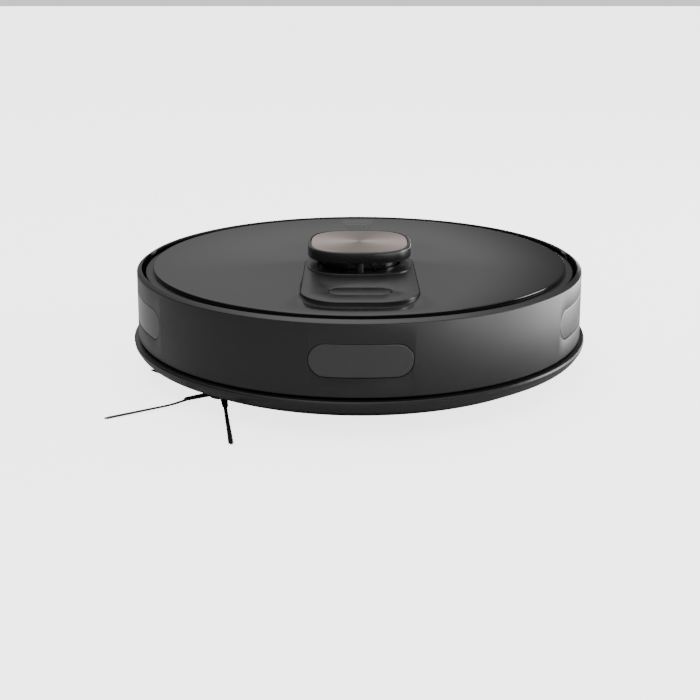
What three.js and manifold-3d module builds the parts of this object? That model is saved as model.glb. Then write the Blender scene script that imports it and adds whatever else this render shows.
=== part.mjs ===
// Robot vacuum cleaner: a low round body with a spring-mounted bumper, a ranging turret on top, two driven
// wheels, a caster, a main roller, a side brush and a slide-out dust bin.
//
// Units are millimetres, +Z is up and the machine drives towards -Y, so its left side is +X.
// The origin is the centre of the skid pad, the lowest flat of the underside; the floor is one ground
// clearance below it.

import * as THREE from 'three';
import { mergeVertices } from 'three/addons/utils/BufferGeometryUtils.js';
import Module from 'manifold-3d';

const wasm = await Module();
wasm.setup();

// ---------------------------------------------------------------- driving sizes

// The whole body
const bodyRadius = 175;          // widest ring, the flange of the base
const rimHeight = 69.2;          // skid pad to the rim of the bumper and the rear shell
const groundClearance = 9;       // floor to the skid pad
const gap = 0.3;                 // between pieces that touch
const runningGap = 0.5;          // between pieces that move past each other

// Base
const skidPad = { length: 40, width: 16, height: 0.5 };
const baseWall = 2.6;
const baseConeWidth = 17;        // the flat floor ends this far inside the flange
const flangeBottomZ = 8;
const flangeTopZ = 16.3;
const flangeInset = 3;           // lower edge of the flange, inside its widest ring
const flangeSeat = 12;           // flat top of the flange, measured inwards
const baseInnerCone = 8;         // how far the inside of the base slopes in below the flange

// Bumper and rear shell
const shellInset = 3.6;          // bumper face, inside the flange
const shellDraft = 1.4;          // how much smaller the face is at the top
const shellWall = 2.6;
const grooveHeight = 1.7;        // dark gap between the flange and the bumper
const rimChamfer = { width: 3.1, height: 2.0, flat: 0.5 };
const rearRimFlat = 2;           // the fixed rear rim is wider than the bumper's
const bumperTravel = 2.5;
const bumperEndY = 20.5;         // the bumper wraps a little past the middle
const rimCornerRadius = 5;       // rounded upper corners beside the notch
const sensorWindow = { length: 68, height: 22, wall: 2, sideAzimuth: 66.5 };

// Deck and panel
const rimStep = 3.2;             // the deck lies below the rim
const deckWall = 2.5;
const skirtWall = 2.4;
const skirtOverlap = 8;          // the skirt runs on behind the rear shell
const panelInset = 5.6;          // deck ring left showing around the panel
const panelThickness = 3.2;
const panelBevel = 1.0;
const statusLight = { length: 23, width: 1.5, y: 128.5, depth: 1.2 };

// Turret
const turretY = -20;
const turretHeight = 18;         // top panel to the top of the cap
const capWidth = 77.5;
const capDepth = 80;
const capSquareness = 2.9;       // exponent of the superellipse
const capBevel = 1.2;
const capPlate = 7.1;            // thickness of the cap below its bevel
const capPostRadius = 2.8;
const inlayBorder = 2.6;         // black border round the metal inlay
const inlayThickness = 0.9;
const inlayRecess = 0.2;         // the inlay lies this far below the cap's rim
const collarLap = 1;             // how far the collar's solid starts inside the fairing
const collarMargin = 0.8;        // the collar stands out past the cap
const collarHeight = 2;
const fairing = { halfWidth: 41, frontInset: 27.8, frontCorner: 28, rearCorner: 37, rearLap: 1, rise: 1 };
const rotorRadius = 29;
const rotorHeight = 11.2;
const rotorSpindleRadius = 8;
const rotorPulleyRadius = 18;
const motorPulleyRadius = 4.5;
const pulleyHeight = 3.5;
const pulleySpacing = 34;
const beltThickness = 1;
const lidarMotor = { radius: 9, height: 17, canHeight: 12, canWall: 1.8, foot: 4, shaft: 1.5, bracket: 4 };
const startKey = { length: 43, width: 18, fromFront: 27, height: 3.4 };
const lens = { halfWidth: 9, height: 5.5, thickness: 3, depth: 3, belowTop: 2.5 };

// Drive units
const wheelInset = 43;           // outer side of the tyre, inside the flange
const wheelWidth = 22;
const tyreThickness = 8;
const gearCase = { width: 18, axleRadius: 21, pivotRadius: 13 };
const pivot = { y: -52, z: 30, radius: 3.5 };
const axleRadius = 4;
const wellMargin = 4;
const earThickness = 3.4;
const torsionSpring = { radius: 6.4, wire: 1.0, turns: 3, room: 4 };

// Caster
const casterInset = 40;          // swivel axis, inside the flange
const casterWheel = { radius: 13, width: 11, trail: 6 };
const casterRadius = 20;
const casterHeight = 20;
const casterStemRadius = 4;
const casterAxleRadius = 1.6;
const casterSocketWall = 2.4;

// Side brush
const brushInset = 35;           // spindle, inside the flange
const brushAzimuth = -44;
const brushArms = 5;
const brushFirstArm = -80;       // direction of the first arm, degrees from +X
const brushReach = 86;
const brushSpindleRadius = 4;
const brushHub = { radius: 12, top: -0.6, bottom: -4.9 };
const brushHolder = { reach: 29, width: 5.6, thickness: 2.4 };
const brushBristle = { width: 3.8, thickness: 1, plateRadius: 10 };
const brushDroop = 1.6;          // degrees the arms slope to the floor
const brushGearRadius = 14;
const brushGearCase = { shoulderZ: 20, topZ: 44, step: 2.5 };  // the motor stands on the gears, one step in

// Roller
const rollerY = 34;
const rollerRadius = 22;         // tips of the blades
const rollerBladeHeight = 10;
const rollerShoulderDrop = 2.6;   // from the shoulders of the core to its frame
const rollerBlades = 6;
const rollerTwist = 40;          // degrees each half of a blade turns
const rollerFloorGap = 0.4;
const tunnelWall = 2;
const tunnelGap = 2;             // between the blades and the tunnel
const rollerPinRadius = 3;

// Dust bin and fan
const binFrontY = 67;
const binWall = 1.8;
const binRoom = 0.6;             // between the bin and the opening it slides in
const binInlet = { width: 56, height: 16 };
const binButton = { length: 30, width: 8, travel: 1.5 };
const fan = { radius: 23, wall: 2, impellerRadius: 18.5, impellerHeight: 10, edgeRoom: 2.1, rollerRoom: 1.4, topRoom: 9.5 };
const fanToBin = 10;             // between the fan and the bin, where the filter's outlet passes
const exhaust = { width: 40, height: 18, slots: 8, slotWidth: 2.6, below: 11 };

// Battery and electronics
const battery = { sideRoom: 30, casterRoom: 21, rear: -18, height: 22.4, cellPitch: 17.1 };   // rooms: to the drive units and the caster
const batteryMargin = 4;
const plateSeat = 0.8;           // floor left above the contacts and cliff windows
const board = { halfLength: 52, length: 54, fromBattery: -4, drop: 14, thickness: 1.6 };
const contactPlate = { x: 38, inset: 34, length: 18, width: 8, proud: 0.3 };
const cliffWindow = { fromContact: 30.1, inset: 25, length: 16, width: 8 };
const speaker = { behindScrew: 25.5, inset: 35, radius: 14, height: 12 };
const screw = { headRadius: 3.4, headHeight: 1.8, radius: 1.5, length: 14, boss: 5 };
const frontScrew = { azimuth: 66, inset: 30.5 };
const rearScrew = { beforeFan: 16, inset: 23 };   // degrees in front of the fan's outlet
const bumperSwitch = { azimuth: 30, width: 14, depth: 9, height: 10, lever: 5 };

// Fineness of round pieces
const bodySides = 64;
const roundSides = 24;
const smallSides = 12;
const tyreSides = 40;

// ---------------------------------------------------------------- sizes that follow

const baseZ = skidPad.height;
const baseTopZ = baseZ + baseWall;
const baseFlatRadius = bodyRadius - baseConeWidth;
const baseFloorRadius = bodyRadius - flangeSeat - baseInnerCone;   // inside of the base, at its floor
const shellBottomZ = flangeTopZ + grooveHeight;
const shellRadius = bodyRadius - shellInset;
const shellTopZ = rimHeight - rimChamfer.height;
const rimRadius = shellRadius - shellDraft - rimChamfer.width;
const deckRadius = rimRadius - rimChamfer.flat - bumperTravel - runningGap;
const deckTopZ = rimHeight - rimStep;
const deckUnderZ = deckTopZ - deckWall;
const panelRadius = deckRadius - panelInset;
const panelTopZ = deckTopZ + gap + panelThickness;
const windowZ = (shellBottomZ + shellTopZ) / 2;
const rearStartY = bumperEndY + bumperTravel + 1.8;

const fairingTopZ = panelTopZ + fairing.rise;
const collarTopZ = panelTopZ + collarHeight;
const capTopZ = panelTopZ + turretHeight;
const inlayZ = capTopZ - inlayRecess - inlayThickness;
const fairingFront = fairing.frontInset - panelRadius;
const fairingRear = turretY + capDepth / 2 + collarMargin + fairing.rearLap;
const keyY = fairingFront + startKey.fromFront;
const capBottomZ = capTopZ - capBevel - capPlate;
const rotorBottomZ = deckTopZ + 1.2;
const pulleyZ = deckUnderZ - 1.5 - pulleyHeight;

const wheelRadius = (deckUnderZ - 1.5 + groundClearance) / 2;   // fills the height under the deck
const axleZ = wheelRadius - groundClearance;
const wheelOuterX = bodyRadius - wheelInset;
const wheelInnerX = wheelOuterX - wheelWidth;
const gearOuterX = wheelInnerX - 2;
const gearInnerX = gearOuterX - gearCase.width;
const earInnerX = gearInnerX - torsionSpring.room;

const brushRingRadius = bodyRadius - brushInset;
const brushX = brushRingRadius * Math.sin(radians(brushAzimuth));
const brushY = -brushRingRadius * Math.cos(radians(brushAzimuth));

const rollerZ = rollerRadius - groundClearance + rollerFloorGap;
const rollerCoreRadius = rollerRadius - rollerBladeHeight;
const rollerShoulderRadius = rollerZ - baseTopZ + gap - rollerShoulderDrop;
const tunnelRadius = rollerRadius + tunnelGap;
const tunnelHalfLength = gearInnerX - 3;
const rollerHalfLength = tunnelHalfLength - tunnelWall - 4;
const mouthHalfLength = tunnelHalfLength - tunnelWall - 1;
const mouthHalfWidth = tunnelRadius;

const fanRing = baseFloorRadius - fan.radius - fan.edgeRoom;
const tunnelCorner = new THREE.Vector2(tunnelHalfLength, rollerY + tunnelRadius + tunnelWall);
const fanDirection = tunnelCorner.angle() + fanLean(tunnelCorner.length(), fan.radius + fan.rollerRoom);
const [fanX, fanY] = [fanRing * Math.cos(fanDirection), fanRing * Math.sin(fanDirection)];
const fanTopZ = deckUnderZ - fan.topRoom;
const fanAzimuth = 180 - degrees(Math.atan2(fanX, fanY));
const exhaustZ = fanTopZ - exhaust.below;
const screwPlaces = [1, -1, 1, -1].map((sign, index) => (index < 2
  ? [sign * frontScrew.azimuth, frontScrew.inset]
  : [sign * (fanAzimuth - rearScrew.beforeFan), rearScrew.inset]));
const grilleInnerRadius = shellRadius - shellDraft - 2.4;
const binHalfWidth = fanX - fan.radius - fanToBin;
const binFloorZ = flangeTopZ + 1.2;
const binTopZ = shellTopZ - 7.3;
const binInletZ = binFloorZ + 13;
const binLidThickness = 2.3;

const boardZ = deckUnderZ - board.drop;
const casterY = casterInset - bodyRadius;
const batteryHalfLength = gearInnerX - battery.sideRoom;
const batteryFront = casterY + casterRadius + battery.casterRoom;
const contactY = contactPlate.inset - bodyRadius;
const cliffAzimuth = degrees(Math.asin((contactPlate.x + cliffWindow.fromContact) / (bodyRadius - cliffWindow.inset)));
const boardFront = batteryFront + board.fromBattery;

// ---------------------------------------------------------------- shape helpers

function radians(value) {
  return value * Math.PI / 180;
}

function degrees(value) {
  return value * 180 / Math.PI;
}

/** Angle from a corner to the point of the fan's ring that is a distance from it, or nearest to that. */
function fanLean(cornerDistance, distance) {
  const cosine = (fanRing ** 2 + cornerDistance ** 2 - distance ** 2) / (2 * fanRing * cornerDistance);
  return Math.acos(Math.min(1, cosine));
}

/** Six times the signed volume of a triangle mesh, negative when its faces point inwards. */
function signedVolume(points, triangles) {
  let total = 0;
  const [a, b, c] = [new THREE.Vector3(), new THREE.Vector3(), new THREE.Vector3()];
  for (let i = 0; i < triangles.length; i += 3) {
    a.fromArray(points, 3 * triangles[i]);
    b.fromArray(points, 3 * triangles[i + 1]);
    c.fromArray(points, 3 * triangles[i + 2]);
    total += a.dot(b.cross(c));
  }
  return total;
}

/** A closed geometry as a solid that can be joined and cut, with its faces turned outwards. */
function toSolid(geometry) {
  geometry.deleteAttribute('normal');
  geometry.deleteAttribute('uv');
  const merged = mergeVertices(geometry, 1e-3);
  const vertProperties = new Float32Array(merged.attributes.position.array);
  const kept = [];
  for (let i = 0; i < merged.index.count; i += 3) {
    const [a, b, c] = [merged.index.getX(i), merged.index.getX(i + 1), merged.index.getX(i + 2)];
    if (a !== b && b !== c && c !== a) kept.push(a, b, c);
  }
  const inward = signedVolume(vertProperties, kept) < 0;
  const triVerts = new Uint32Array(inward ? kept.reverse() : kept);
  return new wasm.Manifold(new wasm.Mesh({ numProp: 3, vertProperties, triVerts }));
}

/** The three.js geometry of a finished solid. */
function toGeometry(solid) {
  const { vertProperties, triVerts } = solid.getMesh();
  const geometry = new THREE.BufferGeometry();
  geometry.setAttribute('position', new THREE.BufferAttribute(new Float32Array(vertProperties), 3));
  geometry.setIndex(new THREE.BufferAttribute(new Uint32Array(triVerts), 1));
  geometry.computeVertexNormals();
  return geometry;
}

/** A profile of [radius, z] points turned about a vertical axis at (x, y). */
function turned(profile, { x = 0, y = 0, sides = bodySides } = {}) {
  const points = profile.map(([radius, z]) => new THREE.Vector2(radius, z));
  const geometry = new THREE.LatheGeometry(points, sides);
  return toSolid(geometry.rotateX(Math.PI / 2).translate(x, y, 0));
}

/** A profile that closes on itself, turned about a vertical axis. */
function turnedRing(profile, options) {
  return turned([...profile, profile[0]], options);
}

/** A flat outline in x and y, raised from z = low to z = high. */
function raised(shape, low, high, curveSegments = 4) {
  const settings = { depth: high - low, bevelEnabled: false, curveSegments };
  return toSolid(new THREE.ExtrudeGeometry(shape, settings).translate(0, 0, low));
}

/** An outline in y and z, carried along x. */
function across(shape, low, high, curveSegments = 8) {
  const settings = { depth: high - low, bevelEnabled: false, curveSegments };
  const turn = new THREE.Matrix4().makeBasis(
    new THREE.Vector3(0, 1, 0), new THREE.Vector3(0, 0, 1), new THREE.Vector3(1, 0, 0));
  const geometry = new THREE.ExtrudeGeometry(shape, settings).translate(0, 0, low);
  return toSolid(geometry.applyMatrix4(turn));
}

/** An outline in x and z that faces outwards at an azimuth (0 is the front), between two radii. */
function facing(shape, azimuth, near, far, curveSegments = 3) {
  const settings = { depth: far - near, bevelEnabled: false, curveSegments };
  const turn = new THREE.Matrix4().makeBasis(
    new THREE.Vector3(1, 0, 0), new THREE.Vector3(0, 0, 1), new THREE.Vector3(0, -1, 0));
  const geometry = new THREE.ExtrudeGeometry(shape, settings).translate(0, 0, near);
  return toSolid(geometry.applyMatrix4(turn).rotateZ(radians(azimuth)));
}

function block(x0, x1, y0, y1, z0, z1) {
  const geometry = new THREE.BoxGeometry(x1 - x0, y1 - y0, z1 - z0);
  return toSolid(geometry.translate((x0 + x1) / 2, (y0 + y1) / 2, (z0 + z1) / 2));
}

/** A round bar along x, y or z; centre holds its two other coordinates in x, y, z order. */
function rod(axis, radius, low, high, centre, sides = roundSides) {
  const geometry = new THREE.CylinderGeometry(radius, radius, high - low, sides);
  const middle = (low + high) / 2;
  if (axis === 'x') geometry.rotateZ(Math.PI / 2).translate(middle, centre[0], centre[1]);
  if (axis === 'y') geometry.translate(centre[0], middle, centre[1]);
  if (axis === 'z') geometry.rotateX(Math.PI / 2).translate(centre[0], centre[1], middle);
  return toSolid(geometry);
}

/** A rectangle with rounded corners; the front corners (low y) may differ from the rear ones. */
function roundedRectangle(x0, x1, y0, y1, front, rear = front) {
  const shape = new THREE.Shape();
  shape.moveTo(x0 + front, y0);
  shape.lineTo(x1 - front, y0);
  shape.absarc(x1 - front, y0 + front, front, -Math.PI / 2, 0, false);
  shape.lineTo(x1, y1 - rear);
  shape.absarc(x1 - rear, y1 - rear, rear, 0, Math.PI / 2, false);
  shape.lineTo(x0 + rear, y1);
  shape.absarc(x0 + rear, y1 - rear, rear, Math.PI / 2, Math.PI, false);
  shape.lineTo(x0, y0 + front);
  shape.absarc(x0 + front, y0 + front, front, Math.PI, 1.5 * Math.PI, false);
  return shape;
}

/** A pill outline of a length and a height about a centre. */
function pill(length, height, x = 0, y = 0) {
  const end = height / 2 - 0.01;
  return roundedRectangle(x - length / 2, x + length / 2, y - height / 2, y + height / 2, end);
}

/** The superellipse |x/a|^n + |y/b|^n = 1 about the turret axis. */
function squircle(halfWidth, halfDepth, sides = 44) {
  const power = 2 / capSquareness;
  const points = [];
  for (let i = 0; i < sides; i += 1) {
    const angle = 2 * Math.PI * i / sides;
    const [c, s] = [Math.cos(angle), Math.sin(angle)];
    const x = halfWidth * Math.sign(c) * Math.abs(c) ** power;
    const y = halfDepth * Math.sign(s) * Math.abs(s) ** power;
    points.push(new THREE.Vector2(x, turretY + y));
  }
  return new THREE.Shape(points);
}

/** The point at an azimuth (0 is the front) and a distance from the middle. */
function polar(azimuth, distance) {
  return [distance * Math.sin(radians(azimuth)), -distance * Math.cos(radians(azimuth))];
}

/** The union of a list of solids. */
function joined(...solids) {
  return solids.reduce((whole, next) => whole.add(next));
}

/** The first solid less every other. */
function cut(solid, ...tools) {
  return tools.reduce((whole, tool) => whole.subtract(tool), solid);
}

// ---------------------------------------------------------------- materials and assembly

function finish(color, roughness, metalness = 0) {
  return new THREE.MeshStandardMaterial({ color, roughness, metalness });
}

const materials = {
  satinBlack: finish(0x232325, 0.42),
  panelBlack: finish(0x3a3a3c, 0.18),
  glossBlack: finish(0x161618, 0.1),
  tintedWindow: finish(0x3b3b3d, 0.15),
  bronze: finish(0xa5928b, 0.32, 1),
  bristle: finish(0x1a1a1b, 0.7),
  rubber: finish(0x1c1c1d, 0.85),
  greyPlastic: finish(0x5b5d60, 0.5),
  smokedPlastic: finish(0x2e3032, 0.25),
  filterPaper: finish(0xdcdcd6, 0.9),
  steel: finish(0xb9bbbd, 0.3, 1),
  springSteel: finish(0x8d8f92, 0.35, 1),
  contact: finish(0xc8b27a, 0.3, 1),
  boardGreen: finish(0x1d5a3a, 0.6),
  cellWrap: finish(0x2a3d6b, 0.5),
  redPlastic: finish(0x9c2f28, 0.45),
  lightBar: finish(0xd9dcde, 0.4),
};

const robotVacuum = new THREE.Group();

function addPart(name, solid, material) {
  const mesh = new THREE.Mesh(toGeometry(solid), material);
  mesh.name = name;
  robotVacuum.add(mesh);
}

const sides = [{ side: 'left', sign: 1 }, { side: 'right', sign: -1 }];

/** A block that is mirrored to the right side when sign is -1. */
function sideBlock(sign, x0, x1, y0, y1, z0, z1) {
  return sign > 0 ? block(x0, x1, y0, y1, z0, z1) : block(-x1, -x0, y0, y1, z0, z1);
}

/** A bar along x that is mirrored to the right side when sign is -1. */
function sideRod(sign, radius, x0, x1, centre, count = roundSides) {
  return sign > 0 ? rod('x', radius, x0, x1, centre, count) : rod('x', radius, -x1, -x0, centre, count);
}

// ---------------------------------------------------------------- base

/** Height of a solid that has to pass right through the base floor. */
const throughBase = [-1, baseTopZ + 1];

function wheelOpening(sign) {
  const wheelReach = wheelRadius + wellMargin;
  const wheelPart = sideBlock(sign, gearOuterX, wheelOuterX + wellMargin,
    -wheelReach - 4, wheelReach, ...throughBase);
  const casePart = sideBlock(sign, gearInnerX - 1.5, gearOuterX + 1,
    pivot.y - gearCase.pivotRadius - wellMargin, gearCase.axleRadius + wellMargin, ...throughBase);
  return wheelPart.add(casePart);
}

/** The two posts that carry the pivot of a drive unit. */
function pivotEars(sign) {
  const [front, rear] = [pivot.y - 6, pivot.y + 6];
  const top = pivot.z + 7;
  const inner = sideBlock(sign, earInnerX - earThickness, earInnerX, front, rear, baseTopZ - 1, top);
  const outer = sideBlock(sign, gearOuterX + 1, gearOuterX + 1 + earThickness, front, rear, baseTopZ - 1, top);
  const bore = sideRod(sign, pivot.radius + gap, earInnerX - 10, wheelOuterX, [pivot.y, pivot.z], smallSides);
  return inner.add(outer).subtract(bore);
}

function screwBoss([azimuth, inset]) {
  const [x, y] = polar(azimuth, bodyRadius - inset);
  return rod('z', screw.boss, baseZ + 0.5, 20, [x, y], smallSides);
}

function screwHole([azimuth, inset]) {
  const [x, y] = polar(azimuth, bodyRadius - inset);
  const head = rod('z', screw.headRadius + gap, -1, baseZ + screw.headHeight + 0.4, [x, y], smallSides);
  return head.add(rod('z', screw.radius + gap, 0, 30, [x, y], smallSides));
}

function basePlate() {
  const disc = turned([
    [0, baseZ],
    [baseFlatRadius, baseZ],
    [bodyRadius - flangeInset, flangeBottomZ],
    [bodyRadius - 0.5, flangeTopZ - 4],
    [bodyRadius, flangeTopZ - 1.2],
    [bodyRadius - 0.7, flangeTopZ],
    [bodyRadius - flangeSeat, flangeTopZ],
    [bodyRadius - flangeSeat - baseInnerCone, baseTopZ],
    [0, baseTopZ],
  ]);
  const pad = block(-skidPad.length / 2, skidPad.length / 2, -skidPad.width / 2, skidPad.width / 2, 0, baseTopZ - 1);
  const casterWall = rod('z', casterRadius + runningGap + casterSocketWall, baseZ + 0.5, casterHeight + 1,
    [0, casterY]);
  const casterBore = rod('z', casterRadius + runningGap, -1, casterHeight + 2, [0, casterY]);
  const mouth = block(-mouthHalfLength, mouthHalfLength,
    rollerY - mouthHalfWidth - 1, rollerY + mouthHalfWidth + 1, ...throughBase);
  const doorHole = batteryBlock(batteryMargin + gap, ...throughBase);
  const spindleHole = rod('z', brushSpindleRadius + 1, ...throughBase, [brushX, brushY], smallSides);
  let solid = joined(disc, pad, casterWall, ...screwPlaces.map(screwBoss));
  solid = cut(solid, casterBore, mouth, doorHole, spindleHole, ...screwPlaces.map(screwHole));
  for (const { sign } of sides) {
    solid = solid.subtract(wheelOpening(sign)).add(pivotEars(sign));
    solid = solid.subtract(contactBlock(sign, gap)).subtract(cliffBlock(sign, gap));
  }
  addPart('base_plate', solid, materials.satinBlack);
}

function contactBlock(sign, margin = 0) {
  const [halfX, halfY] = [contactPlate.length / 2 + margin, contactPlate.width / 2 + margin];
  const x = sign * contactPlate.x;
  return block(x - halfX, x + halfX, contactY - halfY, contactY + halfY,
    baseZ - contactPlate.proud - margin, baseTopZ - plateSeat + margin);
}

/** The battery's rectangle with a margin round it, between two heights. */
function batteryBlock(margin, low, high) {
  return block(-batteryHalfLength - margin, batteryHalfLength + margin,
    batteryFront - margin, battery.rear + margin, low, high);
}

function cliffBlock(sign, margin = 0) {
  const outline = roundedRectangle(-cliffWindow.length / 2 - margin, cliffWindow.length / 2 + margin,
    -cliffWindow.width / 2 - margin, cliffWindow.width / 2 + margin, 2);
  const settings = { depth: baseTopZ - plateSeat - baseZ + 2 * margin, bevelEnabled: false, curveSegments: 4 };
  const geometry = new THREE.ExtrudeGeometry(outline, settings);
  const [x, y] = polar(sign * cliffAzimuth, bodyRadius - cliffWindow.inset);
  geometry.rotateZ(radians(sign * cliffAzimuth)).translate(x, y, baseZ - margin);
  return toSolid(geometry);
}

function undersideFittings() {
  for (const { side, sign } of sides) {
    addPart(`charge_contact_${side}`, contactBlock(sign), materials.contact);
    addPart(`cliff_window_${side}`, cliffBlock(sign), materials.tintedWindow);
  }
  screwPlaces.forEach(([azimuth, inset], index) => {
    const [x, y] = polar(azimuth, bodyRadius - inset);
    const head = rod('z', screw.headRadius, baseZ + 0.4, baseZ + 0.4 + screw.headHeight - gap, [x, y], smallSides);
    const slot = block(x - 2, x + 2, y - 0.5, y + 0.5, 0, baseZ + 1.2);
    const shank = rod('z', screw.radius, baseZ + 1.5, baseZ + screw.length, [x, y], 12);
    addPart(`base_screw_${index + 1}`, head.add(shank).subtract(slot), materials.steel);
  });
  const door = batteryBlock(batteryMargin, baseZ, baseTopZ - gap);
  const fingerRecess = rod('x', 3, -12, 12, [battery.rear + batteryMargin - 6, baseZ - 1.6], smallSides);
  addPart('battery_door', door.subtract(fingerRecess), materials.satinBlack);
}

// ---------------------------------------------------------------- bumper and rear shell

/** Closed profile of the outer wall from its lower edge to the chamfered rim. */
function wallProfile(bottomZ, rimFlat) {
  const innerRim = rimRadius - rimFlat;
  const innerTop = shellRadius - shellDraft - shellWall;
  return [
    [shellRadius, bottomZ],
    [shellRadius - shellDraft, shellTopZ],
    [rimRadius, rimHeight],
    [innerRim, rimHeight],
    [innerRim, rimHeight - 1.4],
    [innerTop, rimHeight - 4.4],
    [shellRadius - shellWall, bottomZ],
  ];
}

/** The corner above a quarter circle, to be cut from the upper corner of an end at y. */
function rimCorner(y, direction) {
  const r = rimCornerRadius;
  const top = rimHeight;
  const shape = new THREE.Shape();
  shape.moveTo(y - direction * r, top + 1);
  shape.lineTo(y + direction, top + 1);
  shape.lineTo(y + direction, top - r);
  shape.lineTo(y, top - r);
  shape.absarc(y - direction * r, top - r, r, direction > 0 ? 0 : Math.PI, Math.PI / 2, direction < 0);
  return across(shape, -bodyRadius, bodyRadius, 3);
}

function windowOutline(margin = 0) {
  return pill(sensorWindow.length + 2 * margin, sensorWindow.height + 2 * margin, 0, windowZ);
}

function bumper() {
  const far = bodyRadius + 1;
  const front = block(-far, far, -far, bumperEndY, 0, rimHeight + 1);
  let shell = turnedRing(wallProfile(shellBottomZ, rimChamfer.flat)).intersect(front);
  shell = shell.subtract(rimCorner(bumperEndY, 1));
  const pane = turnedRing([
    [shellRadius - 0.1, shellBottomZ],
    [shellRadius - shellDraft - 0.1, shellTopZ],
    [shellRadius - shellDraft - 0.1 - sensorWindow.wall, shellTopZ],
    [shellRadius - 0.1 - sensorWindow.wall, shellBottomZ],
  ]);
  const places = [['front_window', 0], ['left_window', sensorWindow.sideAzimuth],
    ['right_window', -sensorWindow.sideAzimuth]];
  for (const [name, azimuth] of places) {
    shell = shell.subtract(facing(windowOutline(gap), azimuth, bodyRadius / 2, far));
    addPart(name, pane.intersect(facing(windowOutline(), azimuth, bodyRadius / 2, far)), materials.tintedWindow);
  }
  addPart('bumper_shell', shell, materials.satinBlack);
}

function exhaustOutline(margin = 0) {
  const [halfX, halfZ] = [exhaust.width / 2 + margin, exhaust.height / 2 + margin];
  return roundedRectangle(-halfX, halfX, exhaustZ - halfZ, exhaustZ + halfZ, 3);
}

function rearShell() {
  const far = bodyRadius + 1;
  const rear = block(-far, far, rearStartY, far, 0, rimHeight + 1);
  const binOpening = block(-binHalfWidth - binRoom, binHalfWidth + binRoom, binFrontY, far, 0, binTopZ + binRoom);
  const wall = turnedRing(wallProfile(flangeTopZ + gap, rearRimFlat)).intersect(rear);
  const outlet = facing(exhaustOutline(gap), fanAzimuth, fanRing + fan.radius + 4, far);
  addPart('rear_shell', cut(wall, rimCorner(rearStartY, -1), binOpening, outlet), materials.satinBlack);

  const pane = turnedRing([
    [shellRadius - 0.4, shellBottomZ],
    [shellRadius - shellDraft - 0.4, shellTopZ],
    [grilleInnerRadius, shellTopZ],
    [grilleInnerRadius + shellDraft, shellBottomZ],
  ]);
  let grille = pane.intersect(facing(exhaustOutline(), fanAzimuth, bodyRadius / 2, far));
  const pitch = exhaust.width / (exhaust.slots + 1);
  for (let i = 0; i < exhaust.slots; i += 1) {
    const x = (i - (exhaust.slots - 1) / 2) * pitch;
    const half = exhaust.slotWidth / 2;
    const slot = roundedRectangle(x - half, x + half, exhaustZ - exhaust.height / 2 + 3,
      exhaustZ + exhaust.height / 2 - 3, 1.2);
    grille = grille.subtract(facing(slot, fanAzimuth, bodyRadius / 2, far, 1));
  }
  addPart('exhaust_grille', grille, materials.satinBlack);
}

// ---------------------------------------------------------------- deck, panel and turret

function topDeck() {
  const innerRadius = deckRadius - skirtWall;
  const disc = rod('z', deckRadius, deckUnderZ, deckTopZ, [0, 0], bodySides);
  const skirt = turnedRing([
    [deckRadius, flangeTopZ + gap],
    [deckRadius, deckTopZ - 0.5],
    [innerRadius, deckTopZ - 0.5],
    [innerRadius, flangeTopZ + gap],
  ]);
  const front = block(-bodyRadius, bodyRadius, -bodyRadius, rearStartY + skirtOverlap, 0, rimHeight);
  const bearing = rod('z', rotorSpindleRadius + 4, deckUnderZ - 0.8, deckTopZ, [0, turretY]);
  const bosses = screwPlaces.map(([azimuth, inset]) =>
    rod('z', screw.boss, 20 + gap, deckUnderZ + 1, polar(azimuth, bodyRadius - inset), smallSides));
  const spindleHole = rod('z', rotorSpindleRadius + gap, 0, deckTopZ + 1, [0, turretY]);
  const pilots = screwPlaces.map(([azimuth, inset]) =>
    rod('z', screw.radius + gap, 0, 34, polar(azimuth, bodyRadius - inset), 12));
  let solid = joined(disc, skirt.intersect(front), bearing, ...bosses);
  solid = cut(solid, spindleHole, ...pilots);
  for (const { sign } of sides) {
    solid = solid.subtract(facing(leverOutline(gap), sign * bumperSwitch.azimuth, innerRadius - 3, bodyRadius));
  }
  addPart('top_deck', solid, materials.satinBlack);
}

function leverOutline(margin = 0) {
  const half = bumperSwitch.lever / 2 + margin;
  return roundedRectangle(-half, half, windowZ - half, windowZ + half, 1);
}

function bumperSwitches() {
  const inner = deckRadius - skirtWall;
  for (const { side, sign } of sides) {
    const azimuth = sign * bumperSwitch.azimuth;
    const [halfX, halfZ] = [bumperSwitch.width / 2, bumperSwitch.height / 2];
    const outline = roundedRectangle(-halfX, halfX, windowZ - halfZ, windowZ + halfZ, 1);
    const body = facing(outline, azimuth, inner - 1 - bumperSwitch.depth, inner - 1, 2);
    const lever = facing(leverOutline(), azimuth, inner - 2, deckRadius - gap, 2);
    addPart(`bumper_switch_${side}`, body.add(lever), materials.redPlastic);
  }
}

function fairingOutline(margin = 0) {
  const half = fairing.halfWidth + margin;
  return roundedRectangle(-half, half, fairingFront - margin, fairingRear + margin,
    fairing.frontCorner + margin, fairing.rearCorner + margin);
}

function topPanel() {
  const disc = turned([
    [0, deckTopZ + gap],
    [panelRadius - 0.6, deckTopZ + gap],
    [panelRadius, deckTopZ + gap + 0.6],
    [panelRadius, panelTopZ - panelBevel],
    [panelRadius - panelBevel, panelTopZ],
    [0, panelTopZ],
  ]);
  const cutOut = raised(fairingOutline(gap), deckTopZ - 1, panelTopZ + 1);
  const lightSlot = raised(statusOutline(gap), panelTopZ - statusLight.depth - gap, panelTopZ + 1);
  addPart('top_panel', cut(disc, cutOut, lightSlot), materials.panelBlack);
  const light = raised(statusOutline(), panelTopZ - statusLight.depth, panelTopZ);
  addPart('status_light', light, materials.lightBar);
}

function statusOutline(margin = 0) {
  return pill(statusLight.length + 2 * margin, statusLight.width + 2 * margin, 0, statusLight.y);
}

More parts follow.
